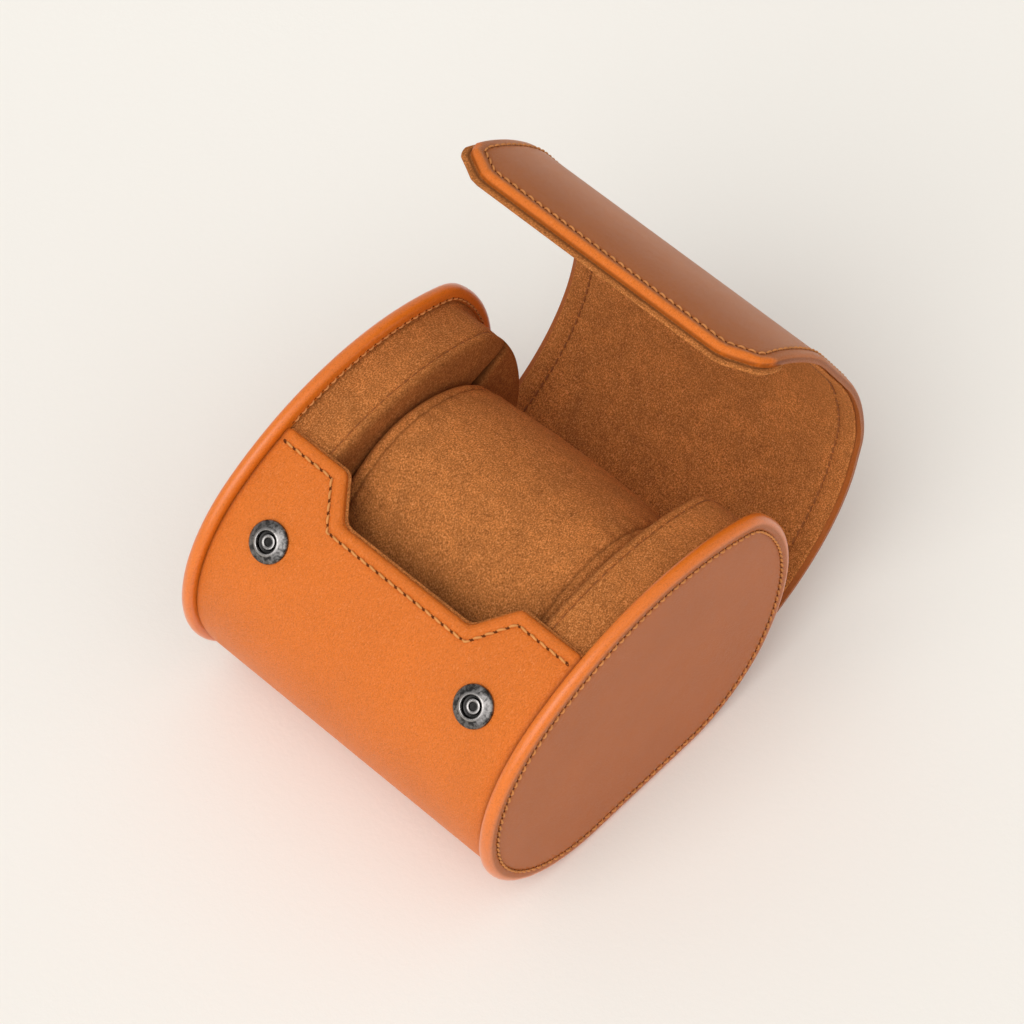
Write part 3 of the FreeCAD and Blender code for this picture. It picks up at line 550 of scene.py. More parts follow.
def turned(points, centre, degrees):
    """Points, as Y and Z, turned about a line along X."""
    angle = math.radians(degrees)
    across, up = (points - centre).T
    return np.stack((centre[0] + across * math.cos(angle) - up * math.sin(angle),
                     centre[1] + across * math.sin(angle) + up * math.cos(angle)), axis=1)


def arc_points(first, last, inset):
    """Points of the outline from one direction to another."""
    turns = [*np.arange(first, last, 0.25), last]
    return np.array([outline_point(turn, inset) for turn in turns])


def running_lengths(line):
    """How far each point of a line lies from its start, along it."""
    return np.concatenate(((0,), np.cumsum(np.linalg.norm(np.diff(line, axis=0), axis=1))))


def interpolated(place, places, values):
    """Rows of values for places between the places that are given."""
    return np.stack([np.interp(place, places, column) for column in values.T], axis=-1)


class Skin:
    """The line of the leather's outer face, from the front edge round the base to the lid's free edge."""
    STEP = 0.4 * MM
    EASING_PASSES = 90
    EASING_REACH = 9 * MM

    def __init__(self):
        inset = SHELL_INSET * MM
        hinge, fold = outline_point(HINGE_TURN, inset), outline_point(FOLD_TURN, inset)
        run = math.radians(RUN_TURN)
        run_start = outline_point(RUN_TURN, inset)
        flap = run_start + RUN_LENGTH * MM * np.array((-math.sin(run), math.cos(run)))
        crown = np.array(CENTRES[CROWN])
        flap_inset = RADII[CROWN] - np.linalg.norm(flap - crown)
        flap_turn = math.degrees(math.atan2(*(flap - crown)[::-1]))
        shell = arc_points(FRONT_EDGE_TURN, 360 + HINGE_TURN, inset)
        back = arc_points(HINGE_TURN, FOLD_TURN, inset)
        top = arc_points(FOLD_TURN, RUN_TURN, inset)
        steps = np.linspace(0, 1, round(RUN_LENGTH * MM / self.STEP) + 1)[1:, None]
        top = np.concatenate((top, run_start + steps * (flap - run_start)))
        end = turned(arc_points(flap_turn, FLAP_END_TURN, flap_inset), flap, -FLAP_OPEN)
        upper = turned(np.concatenate((top, end[1:])), fold, -FOLD_OPEN)
        lid = turned(np.concatenate((back, upper[1:])), hinge, -HINGE_OPEN)
        line = np.concatenate((shell, lid[1:]))
        line[:, 0] += CENTRING
        folds = np.cumsum((len(shell) - 1, len(back) - 1, len(top) - 1))
        self.line, folds = self.eased(line, folds)
        self.s = running_lengths(self.line)
        along = np.gradient(self.line, self.s, axis=0)
        self.along = along / np.linalg.norm(along, axis=1)[:, None]
        self.out = np.stack((self.along[:, 1], -self.along[:, 0]), axis=1)
        self.hinge_s, self.fold_s, self.flap_s = (self.s[fold] for fold in folds)
        self.end_s = self.s[-1]

    def eased(self, line, folds):
        """Rounds the folds, as leather does, and leaves the rest of the line alone."""
        s = running_lengths(line)
        even = np.arange(0, s[-1], self.STEP)
        points = interpolated(even, s, line)
        soft = points.copy()
        for _ in range(self.EASING_PASSES):
            soft[1:-1] = (soft[:-2] + 2 * soft[1:-1] + soft[2:]) / 4
        near = np.max([swell(even, s[fold], self.EASING_REACH, 1.0) for fold in folds], axis=0)[:, None]
        return points * (1 - near) + soft * near, [int(np.argmin(abs(even - s[fold]))) for fold in folds]

    def at(self, s, height=0.0):
        """Places on the skin as Y and Z, at a height above its face. Past the ends it runs on straight."""
        s = np.asarray(s, float)
        within = np.clip(s, 0, self.end_s)
        point, out, along = (interpolated(within, self.s, rows) for rows in (self.line, self.out, self.along))
        return point + out * np.asarray(height)[..., None] + along * (s - within)[..., None]

    def place(self, points, heights):
        """Points in space for points given as places across and along the skin."""
        return np.concatenate((points[:, :1], self.at(points[:, 1], heights)), axis=1)


SKIN = Skin()
LOWER_CUT = SKIN.hinge_s + LOWER_CUT_PAST_HINGE * MM
UPPER_CUT = SKIN.fold_s + UPPER_CUT_PAST_FOLD * MM


def bend_at(s, before, after, reach=5 * MM):
    """How a piece bends from one body to the next about a fold of the skin."""
    start, end = SKIN.at(s - reach), SKIN.at(s + reach)
    return before, after, (0, *map(float, start)), (0, *map(float, end))


SHELL_BEND = bend_at(SKIN.hinge_s, "case", "lid_back", 3 * MM)
# The lid's stretches of leather and suede: where each starts and ends, how it bends, and its panels
LID_STRETCHES = (
    ("lid_lower", LOWER_CUT, UPPER_CUT, bend_at(SKIN.fold_s, "lid_back", "lid_top"), ("lid_back",)),
    ("lid_upper", UPPER_CUT, None, bend_at(SKIN.flap_s, "lid_top", "lid_flap"), ("lid_top", "lid_flap")),
)


def middle_of(node):
    low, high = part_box(node)
    return (low + high) / 2


def stud_station():
    """How far along the skin the studs of the lid lie."""
    cap = middle_of("stud_cap_right")
    return SKIN.s[np.argmin(np.linalg.norm(SKIN.line - np.array((cap.y, cap.z)), axis=1))]


STUD_AT = stud_station()


def pressed(points, flat, depth):
    """The heights of a face, which is flat apart from where the snaps press the lid in to a depth."""
    distance = np.hypot(abs(points[:, 0]) - SNAP_ACROSS * MM, points[:, 1] - STUD_AT)
    share = ramp(distance / MM, *PRESS_REACH)
    return flat * (1 - share) - depth * MM * share


# Mesh helpers

class Body:
    """The points, faces and paint of a mesh in the making."""

    def __init__(self):
        self.verts, self.faces, self.slots = [], [], []
        # Two paints: painted shade, and a tone that picks a shaded copy of a colour, a painted highlight or a
        # dye's tone
        self.paint = {"wear": [], "tone": []}

    def points(self, points, wear=0.0, tone=0.0):
        """Adds painted points, and gives where they start."""
        start = len(self.verts)
        self.verts.extend(points)
        self.paint["wear"].extend(np.broadcast_to(wear, len(points)))
        self.paint["tone"].extend(np.broadcast_to(tone, len(points)))
        return start

    def face(self, numbers, slot=0):
        self.faces.append(tuple(numbers))
        self.slots.append(slot)

    def bridge(self, first, second, count, slot=0):
        """Adds faces between two closed loops of as many points, given where each starts."""
        for number in range(count):
            after = (number + 1) % count
            self.face((first + number, first + after, second + after, second + number), slot)

    def close(self, start, count, slot=0):
        """Adds one face inside a loop."""
        self.face(range(start, start + count), slot)

    def made(self, name, finishes, smooth_angle=40.0):
        """The mesh as an object of the scene, with its faces turned outwards."""
        mesh = bpy.data.meshes.new(name)
        mesh.from_pydata([tuple(map(float, vert)) for vert in self.verts], [], self.faces)
        mesh.validate()
        mesh.shade_smooth()
        mesh.set_sharp_from_angle(angle=math.radians(smooth_angle))
        for finish in finishes:
            mesh.materials.append(finish_of(finish))
        if len(finishes) > 1:
            mesh.polygons.foreach_set("material_index", self.slots)
        for paint, values in self.paint.items():
            attribute = mesh.attributes.new(paint, "FLOAT", "POINT")
            attribute.data.foreach_set("value", np.asarray(values, np.float32))
        work = bmesh.new()
        work.from_mesh(mesh)
        bmesh.ops.recalc_face_normals(work, faces=work.faces)
        work.to_mesh(mesh)
        work.free()
        obj = bpy.data.objects.new(name, mesh)
        bpy.context.scene.collection.objects.link(obj)
        return obj


def bare(*where):
    """The paint of a face that has none."""
    return 0.0


def lofted(name, loops, finish, wear=None, tone=None, smooth_angle=40.0):
    """A closed body through loops of as many points, each loop with its painted shade and its painted tone.
    """
    body = Body()
    count, none = len(loops[0]), [0.0] * len(loops)
    starts = [body.points(*each) for each in zip(loops, wear or none, tone or none)]
    for first, second in zip(starts, starts[1:]):
        body.bridge(first, second, count)
    body.close(starts[0], count)
    body.close(starts[-1], count)
    return body.made(name, [finish], smooth_angle)


def offset_corners(corners, distance):
    """A closed polygon moved inwards by a distance, each corner mitred. The polygon turns to the left."""
    moved = []
    corners = np.asarray(corners, float)
    for before, corner, after in zip(np.roll(corners, 1, axis=0), corners, np.roll(corners, -1, axis=0)):
        first, second = corner - before, after - corner
        first, second = first / np.linalg.norm(first), second / np.linalg.norm(second)
        inward = np.array((-first[1] - second[1], first[0] + second[0]))
        inward /= np.linalg.norm(inward)
        share = max(0.35, inward @ np.array((-first[1], first[0])))
        moved.append(corner + inward * distance / share)
    return np.array(moved)


def divided(corners, reference):
    """The polygon's sides in short steps, counted on a reference polygon so that all its rings match."""
    points = []
    for start, end, low, high in zip(corners, np.roll(corners, -1, axis=0), reference,
                                     np.roll(reference, -1, axis=0)):
        count = max(2, round(np.linalg.norm(high - low) / SHEET_STEP))
        for number in range(count):
            points.append(start + (end - start) * number / count)
    return np.array(points)


def softened(loop, fixed):
    """Rounds a loop's corners, apart from the points that stay fixed."""
    start = loop
    for _ in range(2):
        loop = (np.roll(loop, 1, axis=0) + 2 * loop + np.roll(loop, -1, axis=0)) / 4
        loop[fixed] = start[fixed]
    return loop


def line_distance(points, corners, closed=False):
    """How far each point lies from a run of straight lines."""
    corners = np.asarray(corners, float)
    ends = np.roll(corners, -1, axis=0) if closed else corners[1:]
    best = np.full(len(points), np.inf)
    for start, end in zip(corners, ends):
        way = end - start
        share = np.clip(((points - start) @ way) / (way @ way), 0, 1)
        best = np.minimum(best, np.linalg.norm(points - start - share[:, None] * way, axis=1))
    return best


def inside(points, loop):
    """Which points lie inside a closed loop."""
    result = np.zeros(len(points), bool)
    x, y = points.T
    for (x0, y0), (x1, y1) in zip(loop, np.roll(loop, -1, axis=0)):
        if y0 != y1:
            result ^= ((y0 > y) != (y1 > y)) & (x < (x1 - x0) * (y - y0) / (y1 - y0) + x0)
    return result


def filled(loop, steps):
    """What fills a loop: a grid of points inside it, and triangles that count on from the loop's points."""
    low, high = loop.min(0), loop.max(0)
    grid = np.stack(np.meshgrid(np.arange(low[0], high[0], steps[0]), np.arange(low[1], high[1], steps[1])),
                    axis=-1).reshape(-1, 2)
    grid = grid[inside(grid, loop)]
    grid = grid[line_distance(grid, loop, closed=True) > min(steps) * 0.55]
    points = [Vector(point) for point in np.concatenate((loop, grid))]
    _, _, faces, origins, _, _ = delaunay_2d_cdt(points, [], [list(range(len(loop)))], 1, 1e-7)
    return grid, [[origins[corner][0] for corner in face] for face in faces]


def sheet(name, corners, top, bottom, finish, rings, under_rings, wear=bare, tone=bare, under_painted_shade=0.0):
    """A sheet with thickness over a polygon: top and bottom give the heights of its upper and lower face."""
    corners = np.asarray(corners, float)
    edge = divided(corners, corners)
    fixed = np.min([abs(edge[:, 1] - cut) for cut in (LOWER_CUT, UPPER_CUT)], axis=0) < CUT_REACH * MM
    body = Body()

    def upper(points):
        return body.points(SKIN.place(points, top(points)), wear(points), tone(points))

    def lower(points):
        return body.points(SKIN.place(points, bottom(points)), under_painted_shade, tone(points))

    def face(insets, add, grid, joined=()):
        """Adds loops at the insets, after a joined one, fills the last and gives where the first starts."""
        loops = [softened(divided(offset_corners(corners, inset * MM), corners), fixed) for inset in insets]
        starts = [add(loop) for loop in loops]
        run = (*joined, *starts)
        for first, second in zip(run, run[1:]):
            body.bridge(first, second, len(edge))
        middle, triangles = filled(loops[-1], grid)
        add(middle)
        for triangle in triangles:
            body.face(starts[-1] + number for number in triangle)
        return starts[0]

    outer = face(rings, upper, SHEET_GRID)
    face(under_rings, lower, UNDER_GRID, joined=(outer,))
    return body.made(name, [finish])


def ring_body(name, profile, finish, side, wear=bare, tone=bare):
    """A closed body with the case's outline: the profile gives inset, place across and shrink."""
    loops = []
    for inset, place, shrink in profile:
        loop = FACE_MIDDLE + (outline_loop(inset * MM) - FACE_MIDDLE) * (1 - shrink)
        loops.append(np.column_stack((np.full(len(loop), side * (place * MM)), loop)))
    painted_shades, tone_and_painted_light_values = ([paint(inset, place) for inset, place, _ in profile] for paint in (wear, tone))
    return lofted(name, loops, finish, painted_shades, tone_and_painted_light_values)


def spun(name, profile, place, wear=None, tone=None):
    """A piece of metal turned about the Z of a place, a matrix. The profile gives radius and height."""
    turns = [math.tau * number / SNAP_AROUND for number in range(SNAP_AROUND)]
    loops = [[tuple(place @ (Vector((radius * math.cos(turn), radius * math.sin(turn), height)) * MM))
              for turn in turns] for radius, height in profile]
    return lofted(name, loops, "snap_metal", wear, tone, smooth_angle=32.0)


class Seam:
    """A row of stitches in the making, along a line on a face that place raises heights from."""

    def __init__(self, line, place, closed):
        line = np.asarray(line, float)
        self.line = np.concatenate((line, line[:1])) if closed else line
        self.lengths = running_lengths(self.line)
        self.place = place
        self.body = Body()

    def spot(self, distance):
        return interpolated(distance, self.lengths, self.line)

    def ways(self, first, last):
        """The directions along and across the line between two distances."""
        way = self.spot(last) - self.spot(first)
        way = way / np.linalg.norm(way)
        return way, np.array((-way[1], way[0]))

    def stitch(self, first, last, radius, slant, gap):
        """Adds a thread that rises from one slit and dips into the next, a little aslant."""
        _, across = self.ways(first, last)
        share = np.arange(THREAD_RINGS) / (THREAD_RINGS - 1)
        arch = np.sin(math.pi * share)
        room = (last - first) * gap
        flat = self.spot(first + room + (last - first - 2 * room) * share)
        flat = flat + across * slant * (2 * share - 1)[:, None]
        heights = (THREAD_ARCH * MM + 0.9 * radius) * np.sqrt(arch) - THREAD_SINK * MM
        centres, above = self.place(flat, heights), self.place(flat, heights + 0.1 * MM)
        widths = radius * (0.72 + 0.28 * arch)
        turn = math.tau * np.arange(THREAD_SIDES)[:, None] / THREAD_SIDES
        starts = []
        for centre, top, way, width in zip(centres, above, np.gradient(centres, axis=0), widths):
            way = way / np.linalg.norm(way)
            up = top - centre
            up -= way * (up @ way)
            up /= np.linalg.norm(up)
            ring = centre + (up * np.sin(turn) + np.cross(way, up) * np.cos(turn)) * width
            starts.append(self.body.points(ring))
        for one, next_one in zip(starts, starts[1:]):
            self.body.bridge(one, next_one, THREAD_SIDES)
        self.body.close(starts[0], THREAD_SIDES)
        self.body.close(starts[-1], THREAD_SIDES)

    def hole(self, mark, half):
        """Adds the slit that the needle leaves, which leans across the line and goes down into the face."""
        nudge = 0.1 * MM
        centre = self.spot(mark)
        way, across = self.ways(max(mark - nudge, 0), min(mark + nudge, self.lengths[-1]))
        lean = math.radians(HOLE_LEAN)
        long = way * math.cos(lean) + across * math.sin(lean)
        wide = across * math.cos(lean) - way * math.sin(lean)
        turn = math.tau * np.arange(HOLE_SIDES)[:, None] / HOLE_SIDES
        ring = (long * np.cos(turn) * HOLE_LENGTH + wide * np.sin(turn)) * half
        rim, well = (self.place(centre + ring * share, np.full(HOLE_SIDES, height * MM))
                     for share, height in HOLE_RINGS)
        down = self.place(centre[None], np.array((-HOLE_DEPTH * MM,))) - self.place(centre[None], np.zeros(1))
        foot = rim - (rim - rim.mean(0)) * 0.02 + down
        rim, well, foot = (self.body.points(points) for points in (rim, well, foot))
        self.body.bridge(rim, well, HOLE_SIDES, slot=1)
        self.body.bridge(rim, foot, HOLE_SIDES, slot=1)
        self.body.close(well, HOLE_SIDES, slot=1)
        self.body.close(foot, HOLE_SIDES, slot=1)


def sewn(name, line, place, pitch, thread, radius, slant=0.16, hole=0.36, gap=0.13, closed=False):
    """Stitches and slits of a pitch. The gap is a share of it. Radius, slant and hole are in millimetres."""
    seam = Seam(line, place, closed)
    marks = np.linspace(0, seam.lengths[-1], max(1, round(seam.lengths[-1] / pitch)) + 1)
    for first, last in zip(marks, marks[1:]):
        seam.stitch(first, last, radius * MM, slant * MM, gap)
    for mark in marks[:-1] if closed else marks:
        seam.hole(mark, hole * MM)
    return seam.body.made(name, [thread, "needle_hole"])


def carry(obj, body=None, bends=None, replaces=()):
    """Says what a piece rides on and what it stands for."""
    if bends:
        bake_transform(obj)
    else:
        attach(obj, body)
    if replaces:
        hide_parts(*replaces)


# The shapes of the leather and the suede on the flat, across and along the skin

def front_corners(grow=0.0):
    """The shell's outline, turning to the left, and the part of it that is the front edge with its notch."""
    half, lid = (HALF_CAP - CAP_GAP) * MM, HALF_LID * MM + grow
    before, after = SKIN.hinge_s - NARROWS_BEFORE * MM, SKIN.hinge_s + NARROWS_PAST * MM
    notch = [(x * MM - math.copysign(grow, x) * 0.4, s * MM - grow) for x, s in NOTCH]
    front = [(-half, -grow), *notch, (half, -grow)]
    return front + [(half, before), (lid, after), (lid, LOWER_CUT), (-lid, LOWER_CUT), (-lid, after),
                    (-half, before)], front


def lid_corners(low, high, half, lip=0.0):
    """The outline of a stretch of the lid. Where it ends, its corners are cut off and a lip may stand out."""
    if high is not None:
        return [(half, low), (half, high), (-half, high), (-half, low)]
    end, wide = SKIN.end_s + lip, HALF_LID * MM + lip * LIP_ACROSS
    side = [(half, low)]
    if lip:
        side += [(half, end - LIP_START * MM), (wide, end - LIP_FULL * MM)]
    side += [(wide - x * MM, end - s * MM) for x, s in FLAP_CORNER]
    return side + [(-x, s) for x, s in reversed(side)]


def rim_distance(points, half, edge=None):
    """How far points lie from the sides, or from the edge if one is given, in millimetres."""
    return half - abs(points[:, 0]) / MM if edge is None else line_distance(points, edge) / MM


def end_distance(points):
    """How far points lie from the line of the lid's free edge, in millimetres."""
    return (SKIN.end_s - points[:, 1]) / MM


def corner_distance(points, edge):
    """How far points lie from the lid's free edge with its cut corners, in millimetres."""
    ahead = end_distance(points)
    return ahead if edge is None else np.minimum(ahead, line_distance(points, edge[1:-1]) / MM)


def shell_top(points, front):
    """The height of the shell's leather: rolled edges, and a swell and a groove along the front edge."""
    ahead, side = rim_distance(points, HALF_CAP, front), rim_distance(points, HALF_CAP)
    on_lid = ramp((points[:, 1] - SKIN.hinge_s) / MM, -2, 2)
    depth = np.max((rolled(ahead, *FRONT_ROLL), rolled(side, *SHELL_SIDE_ROLL) * (1 - on_lid),
                    rolled(side - 0.8, *HINGE_SIDE_ROLL) * on_lid), axis=0)
    return MM * (swell(ahead, *FRONT_SWELL) - depth - swell(ahead, sizes().front_hem / MM, *FRONT_GROOVE))


def shell_painted_shade(points, front):
    """Painted shade on the shell's leather: beside the caps, in the groove of the seam and under the front
    edge.
    """
    ahead, side = rim_distance(points, HALF_CAP, front), rim_distance(points, HALF_CAP)
    return (swell(side, 0, 0.8, 0.80) + swell(ahead, sizes().front_hem / MM, 0.5, 0.20)
            + swell(ahead, 0, 0.35, 0.25))


def lid_top(points, edge):
    """The height of the lid's leather, whose roll is fuller at the free edge."""
    rim = rim_distance(points, HALF_LID, edge)
    tip = ramp(end_distance(points), 9, 3)
    width, depth = (start + more * tip for start, more in zip(LID_ROLL, LID_TIP_ROLL))
    return MM * (tip * swell(rim, *LID_TIP_SWELL) - rolled(rim, width, depth)
                 - swell(rim, sizes().lid_hem / MM, *LID_GROOVE))


def lid_shaded_copy(points, edge):
    """Painted shade on the lid's leather: its shaded brown copy, apart from the tan roll of its free edge."""
    return 1 - np.maximum(0.85 * ramp(corner_distance(points, edge), 1.5, 1.2),
                          0.12 * ramp(rim_distance(points, HALF_LID, edge), 0.9, 0.6))


def lid_painted_shade(points, edge):
    """Painted shade on the lid's leather: at the very edge and in the seam's groove, and more of it near its
    free end.
    """
    rim = rim_distance(points, HALF_LID, edge)
    near_end = ramp(corner_distance(points, edge), 1.5, 2.0) * ramp(end_distance(points), 24, 8)
    return swell(rim, sizes().lid_hem / MM, 0.5, 0.16) + swell(rim, 0, 0.13, 0.75) + 0.42 * near_end


class CASE_OT_leather(bpy.types.Operator):
    """Make the leather of the shell and of the lid"""
    bl_idname = "travel_case.leather"
    bl_label = "Leather shell and lid"

    def execute(self, context):
        def under(points):
            return pressed(points, -sizes().leather, PRESSED_LEATHER)

        corners, front = front_corners()
        # The shell's leather, with painted shade beside the caps, in its seam and under its front edge
        piece = sheet("shell_leather_skin", corners, lambda points: shell_top(points, front), under,
                      "leather_front", LEATHER_RINGS, LEATHER_UNDER_RINGS,
                      wear=lambda points: shell_painted_shade(points, front))
        carry(piece, bends=SHELL_BEND, replaces=("shell_leather",))
        for name, low, high, bends, panels in LID_STRETCHES:
            corners = lid_corners(low, high, HALF_LID * MM)
            edge = corners if high is None else None
            # Each stretch of the lid's leather has painted shade at its edges and seam, painted shade on its
            # underside where that shows beside the suede, and its shaded brown copy
            piece = sheet(f"{name}_leather_skin", corners, lambda points: lid_top(points, edge), under,
                          "leather_lid", LEATHER_RINGS, LEATHER_UNDER_RINGS,
                          wear=lambda points: lid_painted_shade(points, edge),
                          tone=lambda points: lid_shaded_copy(points, edge), under_painted_shade=0.45)
            carry(piece, bends=bends, replaces=[f"{panel}_leather" for panel in panels])
        return {"FINISHED"}


def lining(name, corners, edge, bends, nodes, shadow=None):
    """A suede lining with a ridge and a groove inside its edge, and a shadow there if one is given."""
    thick, suede = sizes().leather, sizes().suede

    def rim(points):
        return rim_distance(points, HALF_LINING, edge)

    def upper(points):
        return pressed(points, -thick - MM * rolled(rim(points), *SUEDE_ROLL), PRESSED_SUEDE)

    def lower(points):
        relief = (swell(rim(points), *LINING_GROOVE) - swell(rim(points), *LINING_RIDGE)
                  + rolled(rim(points), *SUEDE_UNDER_ROLL))
        return pressed(points, -thick - suede + MM * relief, PRESSED_LINING)

    def shade(points):
        return swell(rim(points), *shadow)

    piece = sheet(name, corners, upper, lower, "suede", SUEDE_RINGS, SUEDE_RINGS,
                  wear=shade if shadow else bare)
    carry(piece, bends=bends, replaces=nodes)


class CASE_OT_lining(bpy.types.Operator):
    """Make the suede lining of the shell and of the lid"""
    bl_idname = "travel_case.lining"
    bl_label = "Suede lining"

    def execute(self, context):
        corners, front = front_corners(FRONT_LIP * MM)
        lining("shell_suede_lining", corners, front, SHELL_BEND, ("shell_lining",))
        for name, low, high, bends, panels in LID_STRETCHES:
            corners = lid_corners(low, high, HALF_LINING * MM, LID_LIP * MM)
            edge, shadow = (corners, (1.75, 0.45, 0.95)) if high is None else (None, None)
            nodes = [f"{panel}_suede" for panel in panels]
            lining(f"{name}_suede_lining", corners, edge, bends, nodes, shadow)
        return {"FINISHED"}


def cap_painted_shade(inset, place):
    """Painted shade on a cap's leather: in the groove of its seam and where its rim meets the shell."""
    return swell(inset, CAP_SEAM[0], 0.35, 0.30) if place > CAP_OUTER_PLACE else swell(inset, 3.7, 0.9, 0.55)


def cap_shaded_copy(inset, place):
    """Painted shade: the panel inside the rolled rim has the leather's second colour, a shaded copy of the
    tan.
    """
    return ramp(inset, 1.1, 1.9) if place > CAP_OUTER_PLACE else 0.0


class CASE_OT_end_caps(bpy.types.Operator):
    """Make the two end caps with their rolled rims"""
    bl_idname = "travel_case.end_caps"
    bl_label = "End caps"

    def execute(self, context):
        cap = [(inset, place, 0.0) for inset, place in CAP_PROFILE]
        cap += [(*CAP_PROFILE[-1], shrink) for shrink in CAP_PANEL_SHRINKS]
        low, high = BOARD_FACES
        board = [(BOARD_INSET, low, BOARD_SHRINK), (BOARD_INSET, low, 0.0), (BOARD_INSET, high, 0.0),
                 (BOARD_INSET, high, BOARD_SHRINK)]
        for name, side in SIDES:
            piece = ring_body(f"end_cap_{name}", cap, "leather_rim", side, cap_painted_shade, cap_shaded_copy)
            carry(piece, body="case", replaces=(f"end_cover_{name}",))
            piece = ring_body(f"end_stiffener_{name}", board, "stiffener", side)
            carry(piece, body="case", replaces=(f"end_board_{name}",))
        return {"FINISHED"}


def cheek_painted_shade(inset, place):
    """Painted shade on a cheek: in its seam, on its inner face and where it goes under the cap's edge."""
    seam = swell(place, 35.1, 0.28, 0.22) if inset < 6 else 0.0
    return seam + 0.38 * ramp(place, 34.6, 33.0) + (0.45 if place > 46.1 else 0.0)


def fold_in(obj, line, depth, width):
    """Presses a crease into the inner face of a cheek, deepest where the line starts, and paints shade along
    it.
    """
    way = line[1] - line[0]
    paint = obj.data.attributes["wear"].data
    for number, vert in enumerate(obj.data.vertices):
        if abs(vert.co.x) > CREASE_REACH * MM:
            continue
        point = np.array((vert.co.y, vert.co.z)) - line[0]
        share = float(np.clip(point @ way / (way @ way), 0, 1))
        distance = np.linalg.norm(point - share * way)
        press = swell(distance, 0, width * (1.25 - 0.75 * share), 1 - 0.4 * share)
        vert.co.x += math.copysign(depth * press, vert.co.x)
        paint[number].value = max(paint[number].value, min(1.0, 2.4 * press))


class CASE_OT_cheeks(bpy.types.Operator):
    """Make the two suede cheeks inside the end caps"""
    bl_idname = "travel_case.cheeks"
    bl_label = "Suede cheeks"

    def execute(self, context):
        profile = [(inset, place, 0.0) for inset, place in CHEEK_PROFILE]
        profile += [(*CHEEK_FACE, shrink) for shrink in CHEEK_FACE_SHRINKS]
        crease = np.array(CREASE) * MM + (CENTRING, 0)
        for name, side in SIDES:
            cheek = ring_body(f"cheek_{name}", profile, "suede", side, cheek_painted_shade)
            if name == "left":
                fold_in(cheek, crease, CREASE_DEPTH * MM, CREASE_WIDTH * MM)
            carry(cheek, body="case",
                  replaces=(f"cheek_band_{name}", f"cheek_face_{name}", f"cheek_foam_{name}"))
        return {"FINISHED"}


def cushion_oval(fullness):
    """Points, as Y and Z, of the cushion's section: an oval of four arcs."""
    depth, height, end = (size * MM * fullness for size in (CUSHION_DEPTH, CUSHION_HEIGHT, CUSHION_END))
    rise = height - end
    side = (depth ** 2 + rise ** 2 - end ** 2) / (2 * (depth - end))
    inner = side - depth
    points = []
    for number in range(CUSHION_AROUND):
        turn = math.tau * number / CUSHION_AROUND
        fold = abs((turn + math.pi / 2) % math.pi - math.pi / 2)
        if fold < math.atan2(rise, inner):
            y, z = side * math.cos(fold) - inner, side * math.sin(fold)
        else:
            y, z = end * math.cos(fold), rise + end * math.sin(fold)
        points.append((math.copysign(y, math.cos(turn)), math.copysign(z, math.sin(turn))))
    return np.array(points)


def cushion_loop(x, fullness, middle):
    """One loop of the cushion, with its soft sway and the puckers that its seams draw in."""
    loop = cushion_oval(fullness)
    turn = np.arctan2(loop[:, 1], loop[:, 0])
    pucker = swell(abs(x), 27.0, 3.0, 0.16) * (np.sin(turn * 37 + 1.3 * np.sin(turn * 5))
                                               + 0.6 * np.sin(turn * 61 + x))
    sway = 0.20 * (np.sin(turn * 3 + x * 0.11) + np.sin(turn * 7 - x * 0.07))
    reach = np.linalg.norm(loop, axis=1)
    loop = loop * (1 + MM * (pucker + sway) * fullness / reach)[:, None]
    return np.column_stack((np.full(len(loop), x * MM), loop + middle))


class CASE_OT_cushion(bpy.types.Operator):
    """Make the suede cushion that sits between the cheeks"""
    bl_idname = "travel_case.cushion"
    bl_label = "Suede cushion"

    def execute(self, context):
        rows = []
        for start, end in zip(CUSHION_STATIONS, CUSHION_STATIONS[1:]):
            count = max(1, round((end[0] - start[0]) / CUSHION_STEP))
            for number in range(count):
                rows.append([first + (last - first) * number / count for first, last in zip(start, end)])
        rows.append(CUSHION_STATIONS[-1])
        rows = [(-x, fullness) for x, fullness in reversed(rows[1:])] + rows
        middle = middle_of("cushion_sleeve").yz
        loops = [cushion_loop(x, fullness, middle) for x, fullness in rows]
        # Painted shade in the puckered seams of the cushion and at its ends by the cheeks
        wear = [swell(abs(x), CUSHION_SEAM, 0.3, 0.6) + (0.35 if abs(x) > 30.5 else 0.0) for x, _ in rows]
        carry(lofted("cushion", loops, "suede", wear, smooth_angle=60.0), body="case",
              replaces=("cushion_core", "cushion_sleeve", "cushion_end_right", "cushion_end_left"))
        return {"FINISHED"}


def standing(axis, place):
    """A matrix whose Z points along an axis, at a place."""
    matrix = axis.to_track_quat("Z", "Y").to_matrix().to_4x4()
    matrix.translation = place
    return matrix


